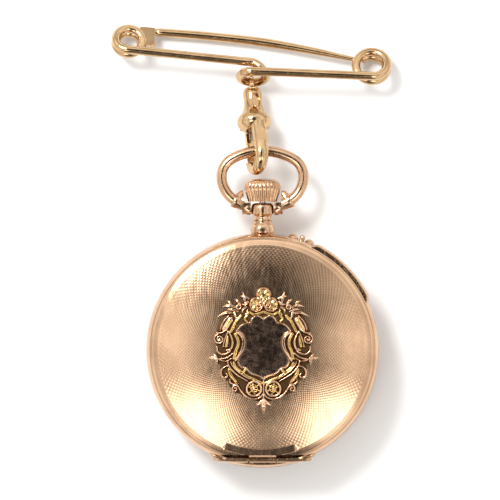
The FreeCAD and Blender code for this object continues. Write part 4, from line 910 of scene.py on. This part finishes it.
    # rosettes
    r.stroke(spiral(ROSETTE, 1.02, 1.02, 1.0, 0.0), 0.19, 0.48)
    r.stroke(spiral(ROSETTE, 0.62, 0.30, 1.2, 30.0), 0.13, 0.38, BED)
    for turn in range(6):
        way = math.radians(60 * turn + 20)
        heading = np.array((math.cos(way), math.sin(way)))
        r.stroke([ROSETTE + reach * heading for reach in (0.3, 0.78)], 0.11, 0.34, BED)
    r.stroke([ROSETTE, (1.40, -5.46)], 0.22, 0.44)
    # middle stem and bottom leaf
    r.curve([(0.0, -4.3), (0.0, -5.4), (0.0, -7.1)], 0.13, 0.40)
    r.curve([(0.0, -6.9), (0.5, -7.4), (1.05, -7.75)], 0.28, 0.40, RIDGE, (0.8, 0.3), 0.08)
    r.curve([(0.0, -7.0), (0.0, -7.9), (0.0, -8.95)], 0.36, 0.44, RIDGE, (0.9, 0.15), 0.10)


def box_blur(field, reach):
    """Running mean over a square, by summed rows and columns."""
    size = 2 * reach + 1
    for axis in (0, 1):
        padding = [(0, 0), (0, 0)]
        padding[axis] = (reach + 1, reach)
        total = np.cumsum(np.pad(field, padding, mode="edge"), axis=axis)
        upper = np.take(total, range(size, total.shape[axis]), axis=axis)
        lower = np.take(total, range(0, total.shape[axis] - size), axis=axis)
        field = (upper - lower) / size
    return field


def cartouche():
    r = Relief(8.3, -9.4, 9.1)
    draw_wreath(r)
    wreath_height = r.height.copy()
    shield = r.inside(SHIELD)
    gap, _ = r.distance(np.asarray(SHIELD, float))
    plate = SHIELD_LIFT + SHIELD_DOMING * np.clip(gap / 2.0, 0.0, 1.0)
    plate = np.where(gap < SHIELD_EDGE, 0.02 + 0.11 * gap / SHIELD_EDGE, plate)
    rim = SHIELD_RIM * np.exp(-(gap / 0.09) ** 2)
    height = np.where(shield, plate, wreath_height)
    tone = np.where(shield, PLATE, r.tone)
    on_rim = (gap < 0.10) & (rim > height)
    height = np.where(on_rim, rim, height)
    tone = np.where(on_rim, RIDGE, tone)
    height = np.where(height > -0.05, box_blur(np.maximum(height, -0.1), 1) * 0.5 + height * 0.5, height)
    # painted shade: hollows in the relief, found against a blurred copy, are darkened in the colour as shade
    # would fall there, and the low ground between the scrolls is made almost black
    hollow = np.clip(box_blur(np.maximum(height, 0.0), 5) - np.maximum(height, 0.0), 0.0, 1.0)
    painted_hollow_shade = np.clip((hollow - 0.01) / 0.07, 0.0, 1.0) * np.where(tone == PLATE, 0.3, 1.0)
    painted_hollow_shade = np.where((tone != PLATE) & (height < 0.09), np.maximum(painted_hollow_shade, 0.94), painted_hollow_shade)
    radius = np.hypot(r.gx + CARTOUCHE_X, r.gy)
    z = np.minimum(dome_z(np.minimum(radius, DOME_RADIUS)) + height, DOME_TOP_Z + 0.34)
    rows, columns = z.shape
    verts = np.stack([r.gx + CARTOUCHE_X, r.gy, z], axis=-1).reshape(-1, 3)
    faces = np.array(grid_faces(rows, columns, False))
    keep = height.reshape(-1)[faces].max(axis=1) > -0.2
    faces = faces[keep]
    used = np.unique(faces)
    index = np.full(rows * columns, -1)
    index[used] = np.arange(len(used))
    obj = new_object("cartouche_relief", verts[used], index[faces].tolist())
    layer = obj.data.color_attributes.new("relief", "FLOAT_COLOR", "POINT")
    tones = tone.reshape(-1)[used]
    channels = [(tones == BED) * 1.0, painted_hollow_shade.reshape(-1)[used], (tones == PLATE) * 1.0, np.ones(len(used))]
    layer.data.foreach_set("color", np.stack(channels, axis=-1).reshape(-1))
    finish_piece(obj, "two_tone_gold", "front_lid", "cartouche", angle=60.0)


cartouche()


# ---- case band with its thumb lip and hinge heel --------------------------------------------------
BAND_LOW = 3.2
BAND_HIGH = 7.8
BAND_RADIUS = 16.5
BAND_CORNER = 16.1
BAND_ROUND = 0.16
LIP_OUT = 0.62
HEEL_HALF = 7.0
HEEL_RADIUS = 18.45
HEEL_BACK = 1.75
HEEL_OUT = 0.24


def band_bulge(angle, z):
    """How far the band stands out from its round outline, at the thumb lip and at the hinge."""
    degrees = np.degrees(angle) % 360.0
    from_lip = np.minimum(degrees - THUMB_FIRST, THUMB_LAST - degrees)
    lip = LIP_OUT * np.clip(from_lip / 3.0, 0.0, 1.0) ** 0.5 * np.clip((z - 6.5) / 0.5, 0.0, 1.0)
    x = BAND_RADIUS * np.cos(angle)
    y = BAND_RADIUS * np.sin(angle)
    heel = np.sqrt(np.clip(HEEL_RADIUS ** 2 - x ** 2, 0.0, None)) - HEEL_BACK - np.abs(y)
    near = np.clip((HEEL_HALF + 0.2 - np.abs(x)) / 1.2, 0.0, 1.0)
    heel = np.where(y < 0.0, np.clip(heel, 0.0, HEEL_OUT) * near, 0.0)
    return lip + heel


def case_band():
    columns = 432
    angle = circle_angles(columns)
    outline = arc3((BAND_CORNER, BAND_LOW), (BAND_RADIUS, MIDDLE_Z), (BAND_CORNER, BAND_HIGH), 15)
    rows = []
    for radius, z in outline:
        rows.append((radius + band_bulge(angle, z), np.full(columns, z)))
    top_radius = rows[-1][0]
    rows = rows[:-1]
    rows.append((top_radius, np.full(columns, BAND_HIGH - BAND_ROUND)))
    for share in (0.3, 0.6, 0.85, 1.0):
        up = BAND_ROUND * math.sin(share * math.pi / 2)
        reach = BAND_ROUND * math.cos(math.asin(up / BAND_ROUND))
        z = BAND_HIGH - BAND_ROUND + up
        rows.append((top_radius - BAND_ROUND + reach, np.full(columns, z)))
    inside = ((15.6, BAND_HIGH), (14.45, BAND_HIGH), (14.45, 7.4), (13.55, 7.4), (13.55, 3.9), (14.2, 3.9),
              (14.2, BAND_LOW), (15.6, BAND_LOW))
    for radius, z in inside:
        rows.append((np.full(columns, radius), np.full(columns, z)))
    radius = np.array([row[0] for row in rows])
    height = np.array([row[1] for row in rows])
    groups = [tyre(polar(radius, angle, height))]
    for z in (HINGE_Z, 3.1):
        for side in (-1, 1):
            xs = [2.02, 2.1, 4.2, 6.0, 6.6, 6.95]
            radii = [0.42, 0.5, 0.5, 0.47, 0.42, 0.2]
            path = [(side * x, HINGE_Y + (0.0 if x < 4.5 else 0.06 * (x - 4.5)), z) for x in xs]
            groups.append(skin(tube(path, radii, 28)))
    obj = solid("case_band_shell", *merge(groups))
    finish_piece(obj, "rose_gold", "case", "case_band", angle=40.0)


def hinge_ears():
    """The flared ears at the two ends of the lid hinge, which run up round the case's edge."""
    groups = []
    for side in (-1, 1):
        path = curve_points([(side * 3.6, -15.38, 7.9), (side * 4.8, -15.36, 8.0), (side * 5.9, -15.12, 8.05),
                             (side * 6.8, -14.72, 8.05), (side * 7.45, -14.25, 7.95)], 6)
        share = np.linspace(0, 1, len(path))
        radii = np.interp(share, (0.0, 0.45, 0.8, 1.0), (0.22, 0.46, 0.52, 0.22))
        groups.append(skin(tube(path, radii, 24, flat=0.9, round_ends=3)))
    obj = solid("hinge_ears", *merge(groups))
    finish_piece(obj, "rose_gold", "case")


case_band()
hinge_ears()


# ---- pendant, crown and bow -----------------------------------------------------------------------
def pendant():
    profile = [(0.62, 15.95), (1.5, 15.95), (1.57, 16.2)]
    profile += arc3((1.6, 16.35), (1.70, 17.05), (1.32, 18.0), 10)
    profile += [(1.30, 18.08), (1.36, 18.14), (1.37, 18.26), (1.30, 18.34), (1.20, 18.42)]
    profile += arc3((1.18, 18.5), (1.27, 18.95), (1.56, 19.3), 6)
    profile += [(1.58, 19.5), (1.58, 20.2), (1.5, 20.55), (1.3, 20.74), (1.1, 20.8)]
    profile += [(0.62, y) for y in (20.8, 20.0, 16.5)]
    points = spun(profile, 72, "Y", (0.0, 0.0, MIDDLE_Z))
    columns = points.shape[1]
    facet = 1.0 - 0.012 * np.cos(8 * circle_angles(columns))
    ball = slice(3, 13)
    points[ball, :, 0] *= facet
    points[ball, :, 2] = MIDDLE_Z + (points[ball, :, 2] - MIDDLE_Z) * facet
    obj = solid("pendant_neck", *tyre(points))
    finish_piece(obj, "rose_gold", "case", "pendant", angle=40.0)


FLUTES = 24
FLUTE_DEPTH = 0.17
FLUTE_LOW = 21.0
FLUTE_HIGH = 24.0


def crown():
    columns = FLUTES * 12
    angle = circle_angles(columns)
    side = [(2.02, 21.0), (2.06, 21.08), (2.2, 21.5), (2.35, 22.0), (2.5, 22.5), (2.58, 22.78)]
    top = arc3((2.6, 22.95), (2.28, 23.82), (1.2, 24.17), 12)
    profile = [(0.5, 21.02), (1.9, 21.0)] + side + top + [(0.7, 24.25), (0.05, 24.28)]
    rows = []
    flute = np.abs(np.sin(FLUTES * angle / 2))
    ridge = flute ** 0.7
    for radius, y in profile:
        on_foot = radius < 1.95 and y < 21.1
        depth = 0.0
        if FLUTE_LOW < y < FLUTE_HIGH and not on_foot:
            depth = FLUTE_DEPTH * min((y - 20.98) / 0.12, 1.0) * min((FLUTE_HIGH - y) / 0.75, 1.0)
        r = radius - depth * (1.0 - ridge)
        x = r * np.cos(angle)
        z = r * np.sin(angle)
        rows.append(np.stack([x, np.full(columns, y), MIDDLE_Z - z], axis=-1))
    obj = solid("crown_fluted", *skin(np.array(rows)))
    finish_piece(obj, "rose_gold", "crown", "crown", angle=50.0)


BOW_PIVOT_Y = 19.75
BOW_HALF = 5.8
BOW_WIDEST = 24.6
BOW_TOP = 28.2
BOW_WIRE = 0.76
CROWN_ROOM = 2.72
CROWN_ROOM_Y = (20.9, 24.4)
NECK_ROOM = 1.62


def bow_path(side):
    """Centre line of half the bow: a flat crown arc, a shoulder arc and a lower arc."""
    shoulder = 2.8
    centre_x = BOW_HALF - shoulder
    rise = BOW_TOP - BOW_WIDEST
    crown_arc = (centre_x ** 2 + rise ** 2 - shoulder ** 2) / (2 * (rise - shoulder))
    crown_y = BOW_TOP - crown_arc
    meet = math.atan2(BOW_WIDEST - crown_y, centre_x)
    lower = 4.06
    arcs = ((0.0, crown_y, crown_arc, math.pi / 2, meet, 13, False),
            (centre_x, BOW_WIDEST, shoulder, meet, 0.0, 13, False),
            (BOW_HALF - lower, BOW_WIDEST, lower, 0.0, math.radians(-58.0), 18, True))
    points = []
    for x, y, radius, start, end, count, last_too in arcs:
        for a in np.linspace(start, end, count, endpoint=last_too):
            points.append((side * (x + radius * math.cos(a)), y + radius * math.sin(a), MIDDLE_Z))
    return points


def bow():
    left = bow_path(-1)
    right = bow_path(1)
    ring = left[::-1] + right[1:]
    body = new_object("bow_ring", *skin(tube(ring, BOW_WIRE, 32)))
    lugs = []
    for side in (-1, 1):
        foot = np.array(right[-1] if side > 0 else left[-1])
        end = np.array((side * 1.75, BOW_PIVOT_Y + 0.05, MIDDLE_Z))
        along = end - foot
        length = np.linalg.norm(along)
        way = along / length
        stations = [(-0.22, 0.80), (-0.2, 0.98), (-0.12, 1.04), (0.15, 1.06), (0.45, 1.02), (0.9, 0.94),
                    (1.6, 0.86), (2.4, 0.84), (length, 0.86), (length + 0.35, 0.6)]
        path = [foot + way * d for d, _ in stations]
        lugs.append(new_object("lug", *skin(tube(path, [r for _, r in stations], 32))))
        inner = np.array((side * 2.1, 20.65, MIDDLE_Z))
        wing = [foot + way * 0.2, (foot + inner) / 2 + np.array((0.0, 0.15, 0.0)), inner]
        lugs.append(new_object("wing", *skin(tube(wing, [0.86, 1.12, 1.42], 36, flat=0.66, round_ends=2))))
        horn_foot = foot + way * 0.35 + np.array((-side * 0.05, 0.1, 0.0))
        tip = np.array((side * 2.95, 22.15, MIDDLE_Z))
        horn = [horn_foot, horn_foot + (tip - horn_foot) * 0.6, tip]
        lugs.append(new_object("horn", *skin(tube(horn, [0.95, 0.72, 0.5], 28, round_ends=2))))
    for piece in lugs:
        outward(piece)
    outward(body)
    carved(body, lugs, "UNION")
    room = spun([(CROWN_ROOM, y) for y in CROWN_ROOM_Y], 96, "Y", (0.0, 0.0, MIDDLE_Z))
    crown_room = solid("crown_room", *skin(room))
    neck_room = solid("neck_room", *skin(box_points(-NECK_ROOM, NECK_ROOM, 17.0, 21.4, 2.0, 9.0)))
    cutters = [crown_room, neck_room]
    for side in (-1, 1):
        sink = tube([(side * 2.56, BOW_PIVOT_Y, MIDDLE_Z), (side * 5.0, BOW_PIVOT_Y, MIDDLE_Z)], 0.6, 28)
        cutters.append(solid("screw_room", *skin(sink)))
    carved(body, cutters)
    finish_piece(body, "rose_gold", "bow", "bow", angle=38.0)


pendant()
crown()
bow()


# ---- clip: bulb, hook, gate and eye ---------------------------------------------------------------
CLIP_X = -0.9
BOW_GRIP = 0.65
CLIP_DROP = 19.45
CLIP_LEAN = 3.6
CLIP_TURN = -21.8
HOOK_BEND = 2.1
GATE_PIVOT = (4.25, -1.55)
EYE_REACH = 11.06
EYE_RADIUS = 1.08
WINDOW_Y = 7.9


def turned_by(degrees, axis):
    return Matrix.Rotation(math.radians(degrees), 4, axis)


def placed(points, place):
    matrix = np.array(place)
    return np.asarray(points, float) @ matrix[:3, :3].T + matrix[:3, 3]


def clip_placed(points, turn=CLIP_TURN):
    """From the clip's own frame, whose axis is +Y from the middle of the hook's bend."""
    place = Matrix.Translation((CLIP_X, BOW_TOP, MIDDLE_Z)) @ turned_by(-CLIP_DROP, "X")
    place = place @ turned_by(CLIP_LEAN, "Z") @ turned_by(-turn, "Y")
    return placed(points, place @ Matrix.Translation((0.0, -BOW_GRIP, 0.0)))


def pivot_room(radius):
    return tube([(-3.0, *GATE_PIVOT), (3.0, *GATE_PIVOT)], radius, 24)


def oval_points(count, y, half_x, half_y, low):
    """Two rings of an oval cutter, from the given height to well outside the bulb."""
    return np.array([[(half_x * math.cos(a), y + half_y * math.sin(a), z) for a in circle_angles(count)]
                     for z in (low, 3.0)])


def clip_outline():
    outline = [(0.56, 9.5), (1.0, 9.93), (1.07, 9.95), (1.14, 9.9), (1.17, 9.83), (1.13, 9.76), (1.15, 9.7)]
    outline += arc3((1.25, 9.62), (1.33, 9.15), (1.28, 8.6), 8)
    outline += arc3((1.27, 8.45), (1.42, 7.0), (1.86, 6.06), 14)
    outline += [(1.93, 6.0), (1.99, 5.98), (2.05, 5.94)]
    outline += arc3((2.14, 5.8), (2.44, 5.0), (1.98, 4.03), 14)
    outline += [(1.9, 3.94), (1.78, 3.92), (1.66, 3.86), (1.45, 3.74), (1.2, 3.72)]
    return outline


def window_rim():
    """The thin raised edge of the oval window."""
    outline = np.array(clip_outline())
    heights = outline[::-1, 1]
    radii = outline[::-1, 0]
    path = []
    for a in circle_angles(56):
        x = 0.66 * math.cos(a)
        y = WINDOW_Y + 1.16 * math.sin(a)
        reach = float(np.interp(y, heights, radii))
        path.append((x, y, math.sqrt(reach ** 2 - x ** 2) - 0.01))
    verts, faces = ring_tube(path, 0.075, 12, (0.0, 0.0, 1.0))
    obj = solid("clip_window_rim", clip_placed(verts), faces)
    finish_piece(obj, "yellow_gold", "clip")


def clip_body():
    profile = clip_outline() + [(0.02, 3.72), (0.02, 8.0), (0.8, 8.0), (0.8, 8.75), (0.56, 8.75)]
    shell = spun(profile, 96, "Y")
    body = solid("clip_bulb_and_hook", *tyre(clip_placed(shell)))
    limb = ((4.9, 1.3), (4.3, 1.45), (3.4, 1.62), (2.2, 1.82), (1.0, 1.98), (0.4, 2.06))
    path = [(0.0, y, z) for y, z in limb]
    for a in np.linspace(0.0, math.radians(178.0), 40):
        path.append((0.0, -HOOK_BEND * math.sin(a), HOOK_BEND * math.cos(a)))
    share = np.linspace(0, 1, len(path))
    radii = np.interp(share, (0.0, 0.06, 0.14, 0.5, 1.0), (1.12, 1.06, 0.98, 0.9, 0.8))
    hook = new_object("hook", *skin(clip_placed(tube(path, radii, 40, flat=0.86))))
    carved(body, [outward(hook)], "UNION")
    window = oval_points(48, WINDOW_Y, 0.6, 1.1, 0.86)
    notch = oval_points(24, 9.28, 0.17, 0.2, 1.08)
    pivot = pivot_room(0.19)
    facet = box_points(-2.0, 2.0, 1.4, 3.7, 2.42, 4.0)
    tilt = np.array(turned_by(9.0, "X"))[:3, :3]
    facet = (facet - (0.0, 2.5, 2.42)) @ tilt.T + (0.0, 2.5, 2.46)
    mouth = box_points(-2.0, 2.0, -0.6, 3.0, -4.0, -1.0)
    slot = box_points(-0.8, 0.8, 2.5, 4.95, -2.8, -0.9)
    rooms = [mouth, slot, window, notch, pivot, facet]
    carved(body, [solid("room", *skin(clip_placed(room))) for room in rooms])
    finish_piece(body, "yellow_gold", "clip", "clip_body", angle=32.0)


def rounded_bar(stations, thick, middle_z, columns=32):
    """Rows of soft-cornered sections; each station gives Y, half width and a share of the thickness."""
    angle = circle_angles(columns)
    x = np.sign(np.cos(angle)) * np.abs(np.cos(angle)) ** 0.4
    z = np.sign(np.sin(angle)) * np.abs(np.sin(angle)) ** 0.55
    rows = []
    for y, half, share in stations:
        rows.append(np.stack([half * x, np.full(columns, y), middle_z + thick * share * z], axis=-1))
    return np.array(rows)


def clip_gate():
    stations = [(-0.45, 0.34, 0.5), (-0.43, 0.44, 0.75), (-0.36, 0.52, 0.92), (-0.2, 0.58, 1.0),
                (0.6, 0.61, 1.0), (2.2, 0.62, 1.0), (3.6, 0.62, 1.0), (4.1, 0.6, 1.0), (4.28, 0.5, 0.7)]
    leaf = rounded_bar(stations, 0.225, -2.075)
    barrel = tube([(x, 4.25, -1.75) for x in (-0.62, -0.57, 0.57, 0.62)], [0.43, 0.5, 0.5, 0.43], 36)
    gate = solid("clip_gate_leaf", *skin(clip_placed(leaf)))
    carved(gate, [solid("barrel", *skin(clip_placed(barrel)))], "UNION")
    pivot = pivot_room(0.2)
    carved(gate, [solid("pivot", *skin(clip_placed(pivot)))])
    finish_piece(gate, "yellow_gold", "gate", "clip_gate", angle=32.0)


def swivel_eye():
    path = []
    for a in circle_angles(64):
        path.append((0.0, EYE_REACH + EYE_RADIUS * math.cos(a), EYE_RADIUS * math.sin(a)))
    ring = ring_tube(path, 0.33, 20, (1.0, 0.0, 0.0))
    stem = [(0.02, 8.1), (0.64, 8.1), (0.7, 8.16), (0.7, 8.54), (0.64, 8.6), (0.48, 8.62), (0.48, 9.55),
            (0.5, 9.66), (0.68, 9.82), (0.78, 9.92), (0.8, 9.99), (0.74, 10.04), (0.6, 10.12), (0.48, 10.24),
            (0.3, 10.3), (0.02, 10.3)]
    verts, faces = merge([ring, skin(spun(stem, 48, "Y"))])
    obj = solid("swivel_ring_and_post", clip_placed(verts, 0.0), faces)
    finish_piece(obj, "yellow_gold", "eye", "swivel_eye", angle=40.0)


# ---- brooch: one bent wire with two coils and a loop, its catch and its needle --------------------
BROOCH_TILT = 30.0
BROOCH_HEADING = 5.81
BROOCH_ANCHOR = np.array((-1.35, 39.5, 5.3))
PIN_WIRE = 0.62
LOOP_RADIUS = 1.8
LOOP_LEAN = 65.0
COIL_DEPTH = 2.0
TAB_CORNER = 0.3
NEEDLE_DEPTH = -1.6


def brooch_placed(points):
    """From the brooch's own flat frame (X along it, Z out of its front) to where it lies."""
    place = Matrix.Translation(BROOCH_ANCHOR) @ turned_by(-BROOCH_HEADING, "Z") @ turned_by(-BROOCH_TILT, "X")
    return placed(points, place)


def in_brooch(x, y, depth):
    """The brooch-frame point at the given depth that lies at X, Y of the whole object."""
    heading = math.radians(BROOCH_HEADING)
    tilt = math.radians(BROOCH_TILT)
    dx = x - BROOCH_ANCHOR[0]
    dy = y - BROOCH_ANCHOR[1]
    along = dx * math.cos(heading) - dy * math.sin(heading)
    across = dx * math.sin(heading) + dy * math.cos(heading)
    return np.array((along, (across - depth * math.sin(tilt)) / math.cos(tilt), depth))


def coil(centre, radius, turns, way):
    """The wire's turns from the foot of a coil, sinking as they wind; way is the winding's sense."""
    points = []
    for share in np.linspace(0, 1, int(48 * turns)):
        a = -math.pi / 2 + way * 2 * math.pi * turns * share
        points.append(centre + np.array((radius * math.cos(a), radius * math.sin(a), -COIL_DEPTH * share)))
    return np.array(points)


def straight(first, last, count):
    return first + (last - first) * np.linspace(0, 1, count + 2)[1:-1, None]


def brooch_frame():
    left_coil = coil(in_brooch(-18.9, 44.2, 0.0), radius=1.9, turns=1.75, way=-1.0)
    right_coil = coil(in_brooch(15.5, 40.7, 0.0), radius=2.2, turns=1.6, way=1.0)
    left_end = in_brooch(-1.3, 40.75, -0.7)
    lean = math.radians(LOOP_LEAN)
    up = np.array((0.0, math.cos(lean), math.sin(lean)))
    middle = BROOCH_ANCHOR - up * LOOP_RADIUS
    loop = []
    for a in np.radians(np.linspace(0.0, -262.0, 60)):
        loop.append(middle + LOOP_RADIUS * (math.cos(a) * np.array((1.0, 0.0, 0.0)) + math.sin(a) * up))
    left_arm = brooch_placed(np.vstack([left_coil[::-1], straight(left_coil[0], left_end, 12)]))
    corner = brooch_placed(left_end)
    bend = curve_points([left_arm[-1], corner, (-0.35, 40.15, 4.1), (0.3, 39.3, 4.1), loop[0], loop[2]], 6)
    right_arm = brooch_placed(np.vstack([straight(np.zeros(3), right_coil[0], 12), right_coil]))
    path = np.vstack([left_arm[:-1], bend[:-1], loop[3:], right_arm])
    wire = new_object("brooch_wire", *skin(tube(path, PIN_WIRE, 28, round_ends=4)))
    finish_piece(outward(wire), "yellow_gold", "brooch", "brooch_frame", angle=50.0)


def slab(outline, low, high, bevel=0.06):
    """Rows of an outline with softened edges, from low to high."""
    outline = np.asarray(outline, float)
    centre = outline.mean(axis=0)
    span = np.abs(outline - centre).max()
    rows = []
    for z, inset in ((low, bevel), (low + bevel, 0.0), (high - bevel, 0.0), (high, bevel)):
        flat = centre + (outline - centre) * (1.0 - inset / span)
        rows.append(np.column_stack([flat, np.full(len(flat), z)]))
    return np.array(rows)


def catch():
    """The sheet tab soldered to the left coil, with the hooked lip that holds the needle's point."""
    tab = []
    for cx, cy, start in ((-14.65, 5.5, 0), (-16.3, 5.5, 90), (-16.3, 3.2, 180), (-14.65, 3.2, 270)):
        for a in np.radians(start + np.linspace(0, 90, 6)):
            tab.append((cx + TAB_CORNER * math.cos(a), cy + TAB_CORNER * math.sin(a)))
    groups = [skin(brooch_placed(slab(tab, -0.76, -0.46)))]
    profile = [(3.35, -0.5), (2.96, -0.52), (2.9, -0.7), (2.9, -1.7), (2.97, -1.96), (3.2, -2.0),
               (3.35, -1.92), (3.3, -1.8), (3.16, -1.78), (3.1, -1.6), (3.1, -0.8), (3.35, -0.72)]
    lip = np.array([[(x, y, z) for y, z in profile] for x in (-14.84, -14.8, -14.26, -14.2)])
    for end in (0, -1):
        lip[end, :, 1:] = lip[end, :, 1:] * 0.96 + lip[end, :, 1:].mean(axis=0) * 0.04
    groups.append(skin(brooch_placed(lip)))
    obj = solid("brooch_catch", *merge(groups))
    finish_piece(obj, "yellow_gold", "brooch", "brooch_frame", angle=30.0)


def needle():
    root = in_brooch(13.0, 41.25, NEEDLE_DEPTH)
    middle = in_brooch(-0.5, 43.75, NEEDLE_DEPTH)
    tip = in_brooch(-16.2, 45.2, NEEDLE_DEPTH)
    lift = np.array((0.0, 0.14, 0.0))
    path = curve_points([root, (root + middle) / 2 + lift, middle, (middle + tip) / 2 + lift, tip], 14)
    share = np.linspace(0, 1, len(path))
    radii = np.interp(share, (0.0, 0.2, 0.45, 0.7, 0.95, 0.975, 0.99, 1.0),
                      (0.33, 0.52, 0.66, 0.64, 0.6, 0.45, 0.22, 0.06))
    obj = solid("brooch_needle_bowed", *skin(brooch_placed(tube(path, radii, 28))))
    finish_piece(obj, "yellow_gold", "needle", "brooch_needle", angle=60.0)


clip_body()
window_rim()
clip_gate()
swivel_eye()
brooch_frame()
catch()
needle()


# ---- dial: printed hour numerals and minute strokes -----------------------------------------------
DIAL_Z = 7.4
PRINT = 0.015
NUMERAL_SIZE = 2.9
NUMERAL_RADIUS = 9.9
TRACK_RADIUS = 12.5


def numerals():
    depsgraph = bpy.context.evaluated_depsgraph_get()
    groups = []
    for hour in range(1, 13):
        font = bpy.data.curves.new("numeral", "FONT")
        font.body = str(hour)
        font.size = NUMERAL_SIZE * MM
        font.align_x = "CENTER"
        font.align_y = "CENTER"
        font.extrude = PRINT / 2 * MM
        text = bpy.data.objects.new("numeral", font)
        bpy.context.scene.collection.objects.link(text)
        depsgraph.update()
        mesh = bpy.data.meshes.new_from_object(text.evaluated_get(depsgraph))
        verts = np.array([v.co for v in mesh.vertices]) / MM
        faces = [tuple(p.vertices) for p in mesh.polygons]
        a = math.radians(90.0 - 30.0 * hour)
        place = (NUMERAL_RADIUS * math.cos(a), NUMERAL_RADIUS * math.sin(a), DIAL_Z + PRINT / 2)
        groups.append((verts + np.array(place), faces))
        bpy.data.objects.remove(text)
    for minute in range(60):
        a = math.radians(6.0 * minute)
        half, inner = (0.16, 11.85) if minute % 5 == 0 else (0.07, 12.1)
        corners = np.array(((inner, -half * 0.7), (inner, half * 0.7),
                            (TRACK_RADIUS, half), (TRACK_RADIUS, -half)))
        turned = np.stack([corners[:, 0] * math.cos(a) - corners[:, 1] * math.sin(a),
                           corners[:, 0] * math.sin(a) + corners[:, 1] * math.cos(a)], axis=-1)
        rows = np.array([np.column_stack([turned, np.full(4, z)]) for z in (DIAL_Z, DIAL_Z + PRINT)])
        groups.append(skin(rows))
    obj = solid("dial_numerals", *merge(groups))
    finish_piece(obj, "enamel", "case", material=BLACK_PAINT)


numerals()


# ---- CAD parts that show as they are --------------------------------------------------------------
def dress_frame():
    """Gives every CAD part that still shows its procedural material."""
    slots = {part["node"]: part["material_slot"] for part in frame["record"]["subparts"]}
    for name, obj in frame["nodes"].items():
        obj.data.materials.clear()
        obj.data.materials.append(BY_SLOT[slots[name]])


dress_frame()
